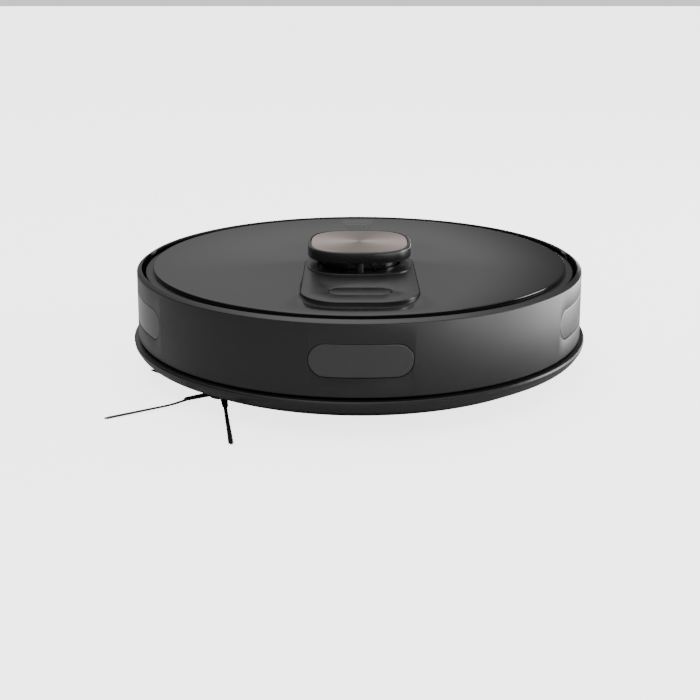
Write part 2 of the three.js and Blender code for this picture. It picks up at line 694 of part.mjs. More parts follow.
function keyOutline(margin = 0) {
  return pill(startKey.length + 2 * margin, startKey.width + 2 * margin, 0, keyY);
}

function turret() {
  const floor = raised(fairingOutline(), deckTopZ + gap, fairingTopZ);
  const collarShape = squircle(capWidth / 2 + collarMargin, capDepth / 2 + collarMargin);
  const collar = raised(collarShape, fairingTopZ - collarLap, collarTopZ);
  const rotorHole = rod('z', rotorRadius + 1.5, 0, collarTopZ + 1, [0, turretY]);
  const keyHole = raised(keyOutline(runningGap), 0, fairingTopZ + 1);
  addPart('tower_base', cut(floor.add(collar), rotorHole, keyHole), materials.glossBlack);

  const keyBottomZ = fairingTopZ - startKey.height;
  addPart('start_key', raised(keyOutline(), keyBottomZ, fairingTopZ), materials.glossBlack);

  const capShape = squircle(capWidth / 2 - capBevel, capDepth / 2 - capBevel);
  const bevelled = new THREE.ExtrudeGeometry(capShape, {
    depth: capPlate - capBevel, bevelEnabled: true, bevelThickness: capBevel, bevelSize: capBevel,
    bevelSegments: 2,
  });
  let cap = toSolid(bevelled.translate(0, 0, capBottomZ + capBevel));
  cap = cap.subtract(raised(inlayOutline(gap), inlayZ - gap, capTopZ + 1));
  for (const [x, y] of capPosts()) {
    cap = cap.add(rod('z', capPostRadius, collarTopZ + gap, capBottomZ + 2, [x, y], smallSides));
  }
  addPart('tower_cap', cap, materials.glossBlack);
  addPart('cap_inlay', raised(inlayOutline(), inlayZ, inlayZ + inlayThickness), materials.bronze);
}

function inlayOutline(margin = 0) {
  return squircle(capWidth / 2 - inlayBorder + margin, capDepth / 2 - inlayBorder + margin);
}

/** One post in the middle of the front and two towards the rear corners. */
function capPosts() {
  const side = rotorRadius + 1.5 + capPostRadius + 1.2;
  return [
    [0, turretY - capDepth / 2 + capPostRadius + 1],
    [side * 0.84, turretY + side * 0.66],
    [-side * 0.84, turretY + side * 0.66],
  ];
}

function rangingRotor() {
  const top = rotorBottomZ + rotorHeight;
  const at = { x: 0, y: turretY, sides: roundSides };
  let rotor = turned([
    [0, pulleyZ],
    [rotorPulleyRadius, pulleyZ],
    [rotorPulleyRadius, pulleyZ + pulleyHeight],
    [rotorSpindleRadius, pulleyZ + pulleyHeight],
    [rotorSpindleRadius, rotorBottomZ],
    [rotorRadius, rotorBottomZ],
    [rotorRadius, top - 2],
    [rotorRadius - 2, top],
    [0, top],
  ], at);
  const lensFront = turretY - rotorRadius + lens.depth;
  const lensRear = lensFront + lens.thickness;
  const [lensLow, lensHigh] = [top - lens.belowTop - lens.height, top - lens.belowTop];
  const lensPocket = block(-lens.halfWidth - gap, lens.halfWidth + gap, turretY - rotorRadius - 1, lensRear + gap,
    lensLow - gap, lensHigh + gap);
  rotor = rotor.subtract(lensPocket);
  addPart('lidar_rotor', rotor, materials.smokedPlastic);
  addPart('lidar_lens', block(-lens.halfWidth, lens.halfWidth, lensFront, lensRear, lensLow, lensHigh),
    materials.tintedWindow);

  // An outer-rotor motor: the stator hangs from the deck by a bracket, and its can turns with the pulley.
  const { radius, height, canHeight, canWall, foot, shaft, bracket } = lidarMotor;
  const motorTop = pulleyZ - 1;
  const motorBottom = motorTop - height;
  const axis = [pulleySpacing, turretY];
  const bracketX = pulleySpacing + radius + 1;
  const stator = joined(
    rod('z', radius, motorBottom, motorBottom + foot, axis),
    rod('z', radius - canWall - runningGap, motorBottom + foot - 1, motorTop - canWall - runningGap, axis),
    block(bracketX, bracketX + bracket, turretY - 5, turretY + 5, motorBottom, deckUnderZ - gap),
    block(bracketX - bracket, bracketX + 1, turretY - 5, turretY + 5, motorBottom, motorBottom + foot - 1));
  const shaftBore = rod('z', shaft + gap, motorBottom + 1, motorTop, axis, smallSides);
  addPart('lidar_motor', stator.subtract(shaftBore), materials.steel);
  const can = cut(rod('z', radius, motorTop - canHeight, motorTop, axis),
    rod('z', radius - canWall, motorTop - canHeight - 1, motorTop - canWall, axis));
  const pulley = rod('z', motorPulleyRadius, pulleyZ, pulleyZ + pulleyHeight, axis);
  const shaftRod = rod('z', shaft, motorBottom + 1 + gap, pulleyZ + 1, axis, smallSides);
  addPart('lidar_motor_pulley', joined(can, pulley, shaftRod), materials.steel);
  const beltZ = [pulleyZ + 0.5, pulleyZ + pulleyHeight - 0.5];
  const outer = raised(beltOutline(gap + beltThickness), ...beltZ, 10);
  addPart('lidar_belt', outer.subtract(raised(beltOutline(gap), beltZ[0] - 1, beltZ[1] + 1, 10)), materials.rubber);
}

/** A loop round both pulleys, a margin off them: two arcs joined by their outer tangents. */
function beltOutline(margin) {
  const [big, small] = [rotorPulleyRadius + margin, motorPulleyRadius + margin];
  const lean = Math.acos((big - small) / pulleySpacing);
  const shape = new THREE.Shape();
  shape.absarc(0, turretY, big, lean, 2 * Math.PI - lean, false);
  shape.absarc(pulleySpacing, turretY, small, -lean, lean, false);
  return shape;
}

// ---------------------------------------------------------------- drive units

/** Outline of two circles in y and z joined by their tangents: the case round pivot and axle. */
function gearCaseOutline() {
  const [small, big] = [gearCase.pivotRadius, gearCase.axleRadius];
  const dy = -pivot.y;
  const dz = axleZ - pivot.z;
  const along = Math.atan2(dz, dy);
  const lean = Math.acos((small - big) / Math.hypot(dy, dz));
  const shape = new THREE.Shape();
  shape.absarc(pivot.y, pivot.z, small, along + lean, along - lean + 2 * Math.PI, false);
  shape.absarc(0, axleZ, big, along - lean, along + lean, false);
  return shape;
}

/** A torsion spring about the pivot as a closed sleeve with one ridge for each turn of its wire. */
function springSleeve(x) {
  const { radius, wire, turns, room } = torsionSpring;
  const length = room - 1;
  const pitch = length / turns;
  const ridges = [];
  for (let i = 0; i < turns; i += 1) {
    ridges.push([radius, i * pitch], [radius + wire / 2, (i + 0.5) * pitch]);
  }
  const profile = [[radius - wire / 2, 0], ...ridges, [radius, length], [radius - wire / 2, length]];
  const points = [...profile, profile[0]].map(([r, along]) => new THREE.Vector2(r, along - length / 2));
  const geometry = new THREE.LatheGeometry(points, roundSides);
  return toSolid(geometry.rotateZ(Math.PI / 2).translate(x, pivot.y, pivot.z));
}

function driveUnits() {
  for (const { side, sign } of sides) {
    const span = sign > 0 ? [gearInnerX, gearOuterX] : [-gearOuterX, -gearInnerX];
    let gearbox = across(gearCaseOutline(), ...span);
    const pin = sideRod(sign, pivot.radius, earInnerX - earThickness, gearOuterX + 1 + earThickness,
      [pivot.y, pivot.z], smallSides);
    const axleBore = sideRod(sign, axleRadius + gap, gearOuterX - 8, gearOuterX + 1, [0, axleZ]);
    gearbox = gearbox.add(pin).subtract(axleBore);
    addPart(`wheel_gearbox_${side}`, gearbox, materials.greyPlastic);
    addPart(`suspension_spring_${side}`, springSleeve(sign * (gearInnerX - torsionSpring.room / 2)),
      materials.springSteel);

    const hubRadius = wheelRadius - tyreThickness - gap;
    const hubDisc = sideRod(sign, hubRadius, wheelInnerX, wheelOuterX - 1, [0, axleZ]);
    const dish = sideRod(sign, hubRadius - 4, wheelOuterX - 6, wheelOuterX, [0, axleZ]);
    const centre = sideRod(sign, 7, wheelOuterX - 8, wheelOuterX - 2, [0, axleZ]);
    const axle = sideRod(sign, axleRadius, gearOuterX - 7, wheelInnerX + 1, [0, axleZ]);
    let hub = hubDisc.subtract(dish).add(axle).add(centre);
    for (let i = 0; i < 5; i += 1) {
      const angle = 2 * Math.PI * i / 5;
      const spot = [(hubRadius - 9) * Math.cos(angle), axleZ + (hubRadius - 9) * Math.sin(angle)];
      hub = hub.subtract(sideRod(sign, 4, wheelInnerX + 3, wheelOuterX + 1, spot, 12));
    }
    addPart(`wheel_hub_${side}`, hub, materials.greyPlastic);
    const tyre = sideRod(sign, wheelRadius, wheelInnerX, wheelOuterX, [0, axleZ], tyreSides);
    const hole = sideRod(sign, wheelRadius - tyreThickness, wheelInnerX - 1, wheelOuterX + 1, [0, axleZ], tyreSides);
    addPart(`tyre_${side}`, tyre.subtract(hole), materials.rubber);
  }
}

// ---------------------------------------------------------------- caster

function caster() {
  const wheelY = casterY + casterWheel.trail;
  const wheelZ = casterWheel.radius - groundClearance;
  const carrier = rod('z', casterRadius, baseZ, casterHeight, [0, casterY]);
  const stem = rod('z', casterStemRadius, casterHeight - 1, casterHeight + 5, [0, casterY], smallSides);
  const half = casterWheel.width / 2 + 0.8;
  const slot = block(-half, half, wheelY - casterWheel.radius - 1, wheelY + casterWheel.radius + 1,
    -2, wheelZ + casterWheel.radius + 1);
  const axle = rod('x', casterAxleRadius, -half - 2, half + 2, [wheelY, wheelZ], smallSides);
  addPart('caster_carrier', carrier.add(stem).subtract(slot).add(axle), materials.satinBlack);

  const halfWidth = casterWheel.width / 2;
  const wheel = rod('x', casterWheel.radius, -halfWidth, halfWidth, [wheelY, wheelZ]);
  const bore = rod('x', casterAxleRadius + gap, -halfWidth - 1, halfWidth + 1, [wheelY, wheelZ], smallSides);
  addPart('caster_wheel', wheel.subtract(bore), materials.greyPlastic);

  const socket = rod('z', casterRadius + runningGap + casterSocketWall, casterHeight + 1 + gap, casterHeight + 4,
    [0, casterY]);
  const stemBore = rod('z', casterStemRadius + gap, casterHeight, casterHeight + 6, [0, casterY], smallSides);
  addPart('caster_socket', socket.subtract(stemBore), materials.greyPlastic);
}

// ---------------------------------------------------------------- side brush

/** A bar that starts at radius near from the spindle and slopes down as it runs to radius far. */
function brushBar(angle, near, far, width, thickness, rootZ) {
  const geometry = new THREE.BoxGeometry(far - near, width, thickness);
  geometry.translate((near + far) / 2, 0, 0).rotateY(radians(brushDroop)).translate(0, 0, rootZ);
  return toSolid(geometry.rotateZ(radians(angle)).translate(brushX, brushY, 0));
}

function sideBrush() {
  const bristleZ = brushHub.bottom - gap - brushBristle.thickness / 2;
  const holderZ = bristleZ + brushBristle.thickness / 2 + gap + brushHolder.thickness / 2;
  let hub = turned([
    [0, brushHub.bottom],
    [brushHub.radius - 1.5, brushHub.bottom],
    [brushHub.radius, brushHub.bottom + 1.5],
    [brushHub.radius - 1, brushHub.top],
    [brushSpindleRadius, brushHub.top],
    [brushSpindleRadius, baseTopZ + 5],
    [0, baseTopZ + 5],
  ], { x: brushX, y: brushY, sides: roundSides });
  let bristles = rod('z', brushBristle.plateRadius, bristleZ - brushBristle.thickness / 2,
    bristleZ + brushBristle.thickness / 2, [brushX, brushY]);
  for (let i = 0; i < brushArms; i += 1) {
    const angle = brushFirstArm + 360 * i / brushArms;
    hub = hub.add(brushBar(angle, brushHub.radius - 4, brushHolder.reach, brushHolder.width,
      brushHolder.thickness, holderZ));
    bristles = bristles.add(brushBar(angle, 2, brushReach, brushBristle.width, brushBristle.thickness, bristleZ));
  }
  addPart('side_brush_hub', hub, materials.satinBlack);
  addPart('side_brush_bristles', bristles, materials.bristle);

  const gear = turned([
    [0, baseTopZ + gap],
    [brushGearRadius, baseTopZ + gap],
    [brushGearRadius, brushGearCase.shoulderZ],
    [brushGearRadius - brushGearCase.step, brushGearCase.shoulderZ],
    [brushGearRadius - brushGearCase.step, brushGearCase.topZ],
    [0, brushGearCase.topZ],
  ], { x: brushX, y: brushY, sides: roundSides });
  const bore = rod('z', brushSpindleRadius + gap, 0, baseTopZ + 6, [brushX, brushY]);
  addPart('side_brush_gearbox', gear.subtract(bore), materials.greyPlastic);
}

// ---------------------------------------------------------------- roller

/** The tunnel's section: a half circle over straight sides that end at the base floor. */
function tunnelOutline(radius, bottomZ) {
  const shape = new THREE.Shape();
  shape.moveTo(rollerY + radius, bottomZ);
  shape.lineTo(rollerY + radius, rollerZ);
  shape.absarc(rollerY, rollerZ, radius, 0, Math.PI, false);
  shape.lineTo(rollerY - radius, bottomZ);
  return shape;
}

/** One half of the blades: a star section whose turn grows along its length. */
function bladeHalf(sign) {
  const shape = new THREE.Shape();
  const root = rollerCoreRadius + gap + 1.6;
  const step = 2 * Math.PI / rollerBlades;
  for (let i = 0; i < rollerBlades; i += 1) {
    const middle = i * step;
    for (const [radius, turn] of [[root, -0.14], [rollerRadius, -0.035], [rollerRadius, 0.035], [root, 0.14]]) {
      const [y, z] = [radius * Math.cos(middle + turn), radius * Math.sin(middle + turn)];
      if (i === 0 && turn === -0.14) shape.moveTo(y, z);
      else shape.lineTo(y, z);
    }
    shape.lineTo(root * Math.cos(middle + step / 2), root * Math.sin(middle + step / 2));
  }
  const settings = { depth: rollerHalfLength, bevelEnabled: false, steps: 6, curveSegments: 4 };
  const geometry = new THREE.ExtrudeGeometry(shape, settings);
  const { position } = geometry.attributes;
  const point = new THREE.Vector3();
  for (let i = 0; i < position.count; i += 1) {
    point.fromBufferAttribute(position, i);
    const angle = radians(rollerTwist) * point.z / rollerHalfLength;
    const [c, s] = [Math.cos(angle), Math.sin(angle)];
    const [y, z] = [c * point.x - s * point.y, s * point.x + c * point.y];
    position.setXYZ(i, sign * point.z, rollerY + y, rollerZ + z);
  }
  return toSolid(geometry);
}

function roller() {
  const length = rollerHalfLength;
  const centre = [rollerY, rollerZ];
  const core = joined(
    rod('x', rollerCoreRadius, -length, length, centre),
    rod('x', rollerShoulderRadius, -length - 2, length + 2, centre),
    rod('x', rollerPinRadius, -tunnelHalfLength + gap, tunnelHalfLength - gap, centre, smallSides));
  addPart('roller_core', core, materials.greyPlastic);
  const sleeveBore = rod('x', rollerCoreRadius + gap, -length - 1, length + 1, centre);
  const trim = block(-length + gap, length - gap, rollerY - 40, rollerY + 40, rollerZ - 40, rollerZ + 40);
  const blades = bladeHalf(1).add(bladeHalf(-1)).subtract(sleeveBore).intersect(trim);
  addPart('roller_blades', blades, materials.redPlastic);

  const bottomZ = baseTopZ + gap;
  const outer = across(tunnelOutline(tunnelRadius + tunnelWall, bottomZ), -tunnelHalfLength, tunnelHalfLength);
  const innerHalf = tunnelHalfLength - tunnelWall;
  const inner = across(tunnelOutline(tunnelRadius, bottomZ - 1), -innerHalf, innerHalf);
  const pinBore = rod('x', rollerPinRadius + gap, -tunnelHalfLength - 1, tunnelHalfLength + 1, centre, smallSides);
  const ductRear = binFrontY - gap;
  const [halfX, halfZ] = [binInlet.width / 2, binInlet.height / 2];
  const duct = block(-halfX - 2, halfX + 2, rollerY, ductRear, binInletZ - halfZ - 2, binInletZ + halfZ + 2);
  const bore = block(-halfX, halfX, rollerY, ductRear + 1, binInletZ - halfZ, binInletZ + halfZ);
  addPart('roller_housing', cut(outer.add(duct), inner, pinBore, bore), materials.greyPlastic);

  const frameHalf = mouthHalfLength - gap;
  const frameDepth = mouthHalfWidth + 1 - gap;
  const frame = block(-frameHalf, frameHalf, rollerY - frameDepth, rollerY + frameDepth, baseZ, baseTopZ - gap);
  const open = block(-rollerHalfLength - 1, rollerHalfLength + 1, rollerY - mouthHalfWidth + 1.5,
    rollerY + mouthHalfWidth - 1.5, ...throughBase);
  addPart('roller_frame', frame.subtract(open), materials.redPlastic);

  const outside = -tunnelHalfLength - gap;
  const caseBlock = block(-gearOuterX + 1, outside, rollerY - 6, rollerY + 26, baseTopZ + gap, rollerZ + 24);
  const motorX = (outside - gearOuterX + 1) / 2;
  const motor = rod('y', 9.5, rollerY + 24, rollerY + 48, [motorX, rollerZ + 4]);
  addPart('roller_gearbox', caseBlock.add(motor), materials.greyPlastic);
}

// ---------------------------------------------------------------- dust bin and fan

function dustBin() {
  const far = bodyRadius + 1;
  const wall = binWall;
  const face = turned([[0, 0], [shellRadius - 0.4, 0], [shellRadius - shellDraft - 0.4, shellTopZ], [0, shellTopZ]]);
  const lidBottomZ = binTopZ - binLidThickness;
  const body = block(-binHalfWidth, binHalfWidth, binFrontY, far, binFloorZ, lidBottomZ - gap).intersect(face);
  const room = block(-binHalfWidth + wall, binHalfWidth - wall, binFrontY + wall, far,
    binFloorZ + wall, binTopZ + 1);
  const insideFace = turned([
    [0, 0],
    [shellRadius - wall - 12, 0],
    [shellRadius - wall - 12, shellTopZ],
    [0, shellTopZ],
  ]);
  const inlet = block(-binInlet.width / 2, binInlet.width / 2, binFrontY - 1, binFrontY + wall + 1,
    binInletZ - binInlet.height / 2, binInletZ + binInlet.height / 2);
  const outlet = block(binHalfWidth - wall - 1, binHalfWidth + 1, fanY + 3, fanY + 27,
    binFloorZ + 4, binFloorZ + 20);
  const gripRecess = rod('x', 10, -26, 26, [shellRadius + 3.5, binFloorZ + 16]);
  const buttonZ = lidBottomZ - 8;
  const pocket = facing(pill(binButton.length + 1, binButton.width + 1, 0, buttonZ), 180,
    shellRadius - 6, far);
  addPart('bin_tub', cut(body, room.intersect(insideFace), inlet, outlet, gripRecess, pocket),
    materials.smokedPlastic);

  const lid = block(-binHalfWidth, binHalfWidth, binFrontY, far, lidBottomZ, binTopZ).intersect(face);
  addPart('bin_lid', lid, materials.smokedPlastic);

  const filterX = binHalfWidth - wall - gap;
  let filter = block(filterX - 8, filterX, fanY + 1, fanY + 29, binFloorZ + wall + gap, binFloorZ + 22);
  for (let i = 0; i < 6; i += 1) {
    const y = fanY + 3.5 + 4 * i;
    filter = filter.subtract(block(filterX - 9, filterX - 3, y, y + 2, binFloorZ + 5, binFloorZ + 19));
  }
  addPart('bin_filter', filter, materials.filterPaper);

  const button = facing(pill(binButton.length, binButton.width, 0, buttonZ), 180,
    shellRadius - 6 + binButton.travel + gap, far).intersect(face);
  addPart('bin_button', button, materials.satinBlack);
}

function blower() {
  const at = { x: fanX, y: fanY, sides: roundSides };
  const bottomZ = baseTopZ + gap;
  const inner = fan.radius - fan.wall;
  const impellerTopZ = fanTopZ - fan.wall - 3;
  const impellerZ = impellerTopZ - fan.impellerHeight;
  let housing = turnedRing([
    [12, bottomZ],
    [fan.radius, bottomZ],
    [fan.radius, fanTopZ],
    [10, fanTopZ],
    [10, fanTopZ - fan.wall],
    [inner, fanTopZ - fan.wall],
    [inner, bottomZ + fan.wall],
    [12, bottomZ + fan.wall],
  ], at);
  const ductFar = Math.sqrt((grilleInnerRadius - 1) ** 2 - (exhaust.width / 2) ** 2);
  const ductOuter = roundedRectangle(-exhaust.width / 2, exhaust.width / 2, exhaustZ - 8, exhaustZ + 8, 2);
  const ductInner = roundedRectangle(-exhaust.width / 2 + 2, exhaust.width / 2 - 2, exhaustZ - 6, exhaustZ + 6, 2);
  const chamber = rod('z', inner, bottomZ + fan.wall, fanTopZ - fan.wall, [fanX, fanY]);
  const duct = facing(ductOuter, fanAzimuth, fanRing + 8, ductFar, 3).subtract(chamber);
  housing = housing.add(duct).subtract(facing(ductInner, fanAzimuth, fanRing, ductFar + 2, 3));
  const inletZ = binFloorZ + 12;
  const stubOuter = block(binHalfWidth + binRoom + 1, fanX, fanY + 4, fanY + 20, inletZ - 8, inletZ + 8);
  const stubInner = block(binHalfWidth, fanX, fanY + 6, fanY + 18, inletZ - 6, inletZ + 6);
  housing = housing.add(stubOuter.subtract(chamber)).subtract(stubInner);
  addPart('blower_housing', housing, materials.greyPlastic);

  const shaftRadius = 2;
  const motorTopZ = impellerZ - 2;
  const motor = rod('z', 14, bottomZ + fan.wall + gap, motorTopZ, [fanX, fanY]);
  const shaftBore = rod('z', shaftRadius + gap, motorTopZ - 8, motorTopZ + 1, [fanX, fanY], smallSides);
  addPart('blower_motor', motor.subtract(shaftBore), materials.steel);

  let impeller = joined(
    rod('z', fan.impellerRadius, impellerZ, impellerZ + 1.5, [fanX, fanY]),
    turned([[0, impellerZ], [9, impellerZ], [4, impellerTopZ], [0, impellerTopZ]], at),
    rod('z', shaftRadius, motorTopZ - 7, impellerZ + 1, [fanX, fanY], smallSides));
  for (let i = 0; i < 9; i += 1) {
    const vane = new THREE.BoxGeometry(fan.impellerRadius - 4, 1.2, fan.impellerHeight - 2);
    vane.translate(fan.impellerRadius / 2 + 1.5, 0, 0).rotateZ(2 * Math.PI * i / 9);
    vane.translate(fanX, fanY, impellerZ + 1 + (fan.impellerHeight - 2) / 2);
    impeller = impeller.add(toSolid(vane));
  }
  addPart('impeller', impeller, materials.satinBlack);
}

// ---------------------------------------------------------------- battery and electronics

function electronics() {
  const { rear, height, cellPitch: pitch } = battery;
  const cells = Math.floor(2 * batteryHalfLength / pitch);
  const bottomZ = baseTopZ + gap;
  let pack = batteryBlock(0, bottomZ, bottomZ + height - 4);
  for (let i = 0; i < cells; i += 1) {
    const x = (i + 0.5 - cells / 2) * pitch;
    pack = pack.add(rod('y', pitch / 2 - 0.2, batteryFront + 1, rear - 1, [x, bottomZ + height - pitch / 2], smallSides));
  }
  addPart('battery_pack', pack, materials.cellWrap);

  const top = boardZ + board.thickness;
  const chips = [[-20, 14, 16, 16, 2], [14, 18, 12, 18, 2], [36, 36, 10, 10, 4], [-38, 40, 14, 8, 5]];
  let circuit = block(-board.halfLength, board.halfLength, boardFront, boardFront + board.length, boardZ, top);
  for (const [x, fromFront, length, width, proud] of chips) {
    const y = boardFront + fromFront;
    circuit = circuit.add(block(x - length / 2, x + length / 2, y - width / 2, y + width / 2, boardZ + 0.5,
      top + proud));
  }
  addPart('main_board', circuit, materials.boardGreen);

  const azimuth = -(fanAzimuth - rearScrew.beforeFan + speaker.behindScrew);
  const [x, y] = polar(azimuth, bodyRadius - speaker.inset);
  const cone = turned([
    [0, baseTopZ + gap + 2],
    [speaker.radius - 3, baseTopZ + gap],
    [speaker.radius, baseTopZ + gap],
    [speaker.radius, baseTopZ + gap + 3],
    [speaker.radius / 2, baseTopZ + gap + speaker.height],
    [0, baseTopZ + gap + speaker.height],
  ], { x, y, sides: 32 });
  addPart('speaker', cone, materials.springSteel);
}

// ---------------------------------------------------------------- assembly

basePlate();
undersideFittings();
bumper();
rearShell();
topDeck();
bumperSwitches();
topPanel();
turret();
rangingRotor();
driveUnits();
caster();
sideBrush();
roller();
dustBin();
blower();
electronics();

export default robotVacuum;
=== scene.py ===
# %% [markdown]
# # Robot vacuum: the looks
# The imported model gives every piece's place, size and motion. This lesson dresses it: each visible
# piece is made again as a fine numpy surface in the same place, and gets a material that starts from
# the real plastic, rubber or metal. First the frame is loaded and its box is kept.

# %% Load the frame
import math

import bpy
import numpy as np
from mathutils import Matrix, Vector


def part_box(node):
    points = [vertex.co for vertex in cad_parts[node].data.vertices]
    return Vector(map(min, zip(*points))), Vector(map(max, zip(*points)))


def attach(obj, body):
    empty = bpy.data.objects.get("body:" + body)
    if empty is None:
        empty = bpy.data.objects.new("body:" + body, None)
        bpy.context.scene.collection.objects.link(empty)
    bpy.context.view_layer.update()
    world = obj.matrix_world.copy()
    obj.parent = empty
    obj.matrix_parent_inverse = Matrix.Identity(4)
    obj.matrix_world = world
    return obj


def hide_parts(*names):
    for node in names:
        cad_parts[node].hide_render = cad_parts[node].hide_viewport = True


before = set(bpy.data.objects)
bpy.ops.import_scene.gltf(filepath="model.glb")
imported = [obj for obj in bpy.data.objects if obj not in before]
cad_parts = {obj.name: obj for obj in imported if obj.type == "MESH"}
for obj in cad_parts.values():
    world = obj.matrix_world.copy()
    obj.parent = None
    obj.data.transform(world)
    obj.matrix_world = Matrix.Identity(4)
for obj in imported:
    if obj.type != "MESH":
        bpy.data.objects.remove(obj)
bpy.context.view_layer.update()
MM = 0.001


def span(node):
    """Lowest and highest corner of a CAD node, in millimetres."""
    low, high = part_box(node)
    return np.array(low) / MM, np.array(high) / MM


base_high = span("base_plate")[1]
flange_radius = base_high[0]
rim_z = span("bumper_shell")[1][2]
floor_z = span("tyre_left")[0][2]
print(f"flange radius {flange_radius:.1f} mm, rim at {rim_z:.1f} mm, floor at {floor_z:.1f} mm")

# %% [markdown]
# The camera stands 0.8 m in front of the machine and a little above it, looking down at 18 degrees.
# It is made first, so that every later step can be looked at from the final viewpoint.

# %% Camera
camera = bpy.data.objects.new("camera", bpy.data.cameras.new("camera"))
bpy.context.scene.collection.objects.link(camera)
camera.data.lens = 54.28
camera.data.sensor_width = 36
camera.location = (-0.007, -0.8025, 0.2592)
camera.rotation_euler = (math.radians(90 - 18.29), 0, 0)
bpy.context.scene.camera = camera

# %% [markdown]
# Shapes are pairs of numpy arrays, points and faces. Three small tools make almost everything: a grid
# of points with its faces, a profile turned about an upright axis, and rings of points laid one after
# another from one pole to the other. Corners of a profile are rounded by a formula, never by hand.

# %% Shape tools
def grid(points, wrap=True):
    """Faces for a (rows, columns, 3) array of points; the last column joins the first if wrap."""
    rows, columns = points.shape[:2]
    index = np.arange(rows * columns).reshape(rows, columns)
    if wrap:
        index = np.hstack([index, index[:, :1]])
    corners = [index[:-1, :-1], index[:-1, 1:], index[1:, 1:], index[1:, :-1]]
    return points.reshape(-1, 3), np.stack(corners, axis=-1).reshape(-1, 4)


def rounded(corners, steps=5, closed=True):
    """A path through corners (u, v, radius), each replaced by an arc that is tangent to both sides.

    The arc starts radius / tan(half the corner's angle) before the corner, turns about the point
    radius / sin(half angle) along the corner's bisector, and ends as far beyond it."""
    table = np.array(corners, float)
    path = []
    for i, (u, v, radius) in enumerate(table):
        corner = np.array([u, v])
        at_end = not closed and i in (0, len(table) - 1)
        if radius == 0 or at_end:
            path.append(corner[None])
            continue
        before = table[i - 1, :2] - corner
        after = table[(i + 1) % len(table), :2] - corner
        before, after = before / np.linalg.norm(before), after / np.linalg.norm(after)
        half = 0.5 * math.acos(np.clip(before @ after, -1, 1))
        bisector = (before + after) / np.linalg.norm(before + after)
        centre = corner + bisector * radius / math.sin(half)
        first = corner + before * radius / math.tan(half) - centre
        last = corner + after * radius / math.tan(half) - centre
        share = np.linspace(0, 1, steps + 1)[:, None]
        arc = first * (1 - share) + last * share
        path.append(centre + arc * radius / np.linalg.norm(arc, axis=1, keepdims=True))
    path = np.vstack(path)
    return np.vstack([path, path[:1]]) if closed else path


def turned(profile, sides=256, centre=(0, 0), first=0.0, last=360.0):
    """A profile of (radius, z) turned about an upright axis: x = r sin a, y = -r cos a."""
    whole = last - first >= 360
    angle = np.radians(np.linspace(first, last, sides + 1))
    angle = angle[:-1] if whole else angle
    radius, z = np.asarray(profile, float)[:, :2].T
    x = centre[0] + radius[:, None] * np.sin(angle)
    y = centre[1] - radius[:, None] * np.cos(angle)
    return grid(np.stack([x, y, np.broadcast_to(z[:, None], x.shape)], axis=-1), wrap=whole)


def laid_along_x(shape, centre):
    """A shape turned about z is laid on its side: its axis z becomes x, through centre (y, z)."""
    points, faces = shape
    return np.stack([points[:, 2], centre[0] + points[:, 0], centre[1] + points[:, 1]], axis=-1), faces


def rings(outline, normals, steps):
    """Rings of one closed outline: each step (inset, z) moves it inwards along its normals."""
    steps = np.asarray(steps, float)
    flat = outline[None] - steps[:, None, :1] * normals[None]
    z = np.broadcast_to(steps[:, None, 1:2], flat.shape[:2] + (1,))
    return grid(np.concatenate([flat, z], axis=-1))


def prism(outline, low, high):
    """A closed outline in x and y between two heights, with flat many-sided ends."""
    count = len(outline)
    layers = [np.column_stack([outline, np.full(count, z)]) for z in (low, high)]
    points, faces = grid(np.stack(layers))
    ends = [list(range(count))[::-1], list(range(count, 2 * count))]
    return points, faces.tolist() + ends


def block(low, high):
    """A plain box between two corners."""
    x, y, z = zip(low, high)
    outline = np.array([(x[0], y[0]), (x[1], y[0]), (x[1], y[1]), (x[0], y[1])])
    return prism(outline, *z)


def facing(outline, azimuth, near, far):
    """An outline in x and z pushed outwards at an azimuth (0 is the front), as a cutting tool."""
    points, faces = prism(outline, near, far)
    turn = math.radians(azimuth)
    x, z, out = points.T
    return np.stack([x * math.cos(turn) + out * math.sin(turn),
                     x * math.sin(turn) - out * math.cos(turn), z], axis=-1), faces


# %% [markdown]
# A shape becomes an object through one function, which also merges doubled points at seams and
# poles, turns every face outwards and marks edges sharper than an angle. Cutting uses Boolean
# modifiers, applied at once, and a small Bevel softens what they leave, as a mould does.

# %% Object tools
import bmesh


def make(name, *shapes, crease=35):
    """One object from one or more shapes, in millimetres in the machine's frame."""
    points, faces, start = [], [], 0
    for shape_points, shape_faces in shapes:
        points.append(shape_points)
        faces += [[start + i for i in face] for face in np.array(shape_faces, dtype=object).tolist()]
        start += len(shape_points)
    mesh = bpy.data.meshes.new(name)
    mesh.from_pydata(np.vstack(points) * MM, [], faces)
    work = bmesh.new()
    work.from_mesh(mesh)
    bmesh.ops.remove_doubles(work, verts=work.verts, dist=2e-6)
    bmesh.ops.dissolve_degenerate(work, edges=work.edges, dist=1e-6)
    bmesh.ops.recalc_face_normals(work, faces=work.faces)
    work.to_mesh(mesh)
    work.free()
    thing = bpy.data.objects.new(name, mesh)
    bpy.context.scene.collection.objects.link(thing)
    soften(thing, crease)
    return thing


def soften(thing, crease=35):
    """Smooth shading, with edges sharper than crease degrees kept sharp."""
    thing.data.shade_smooth()
    thing.data.set_sharp_from_angle(angle=math.radians(crease))


def apply_modifiers(thing):
    """The mesh that the modifiers give takes the place of the object's own."""
    bpy.context.view_layer.update()
    depsgraph = bpy.context.evaluated_depsgraph_get()
    mesh = bpy.data.meshes.new_from_object(thing.evaluated_get(depsgraph))
    thing.modifiers.clear()
    thing.data = mesh


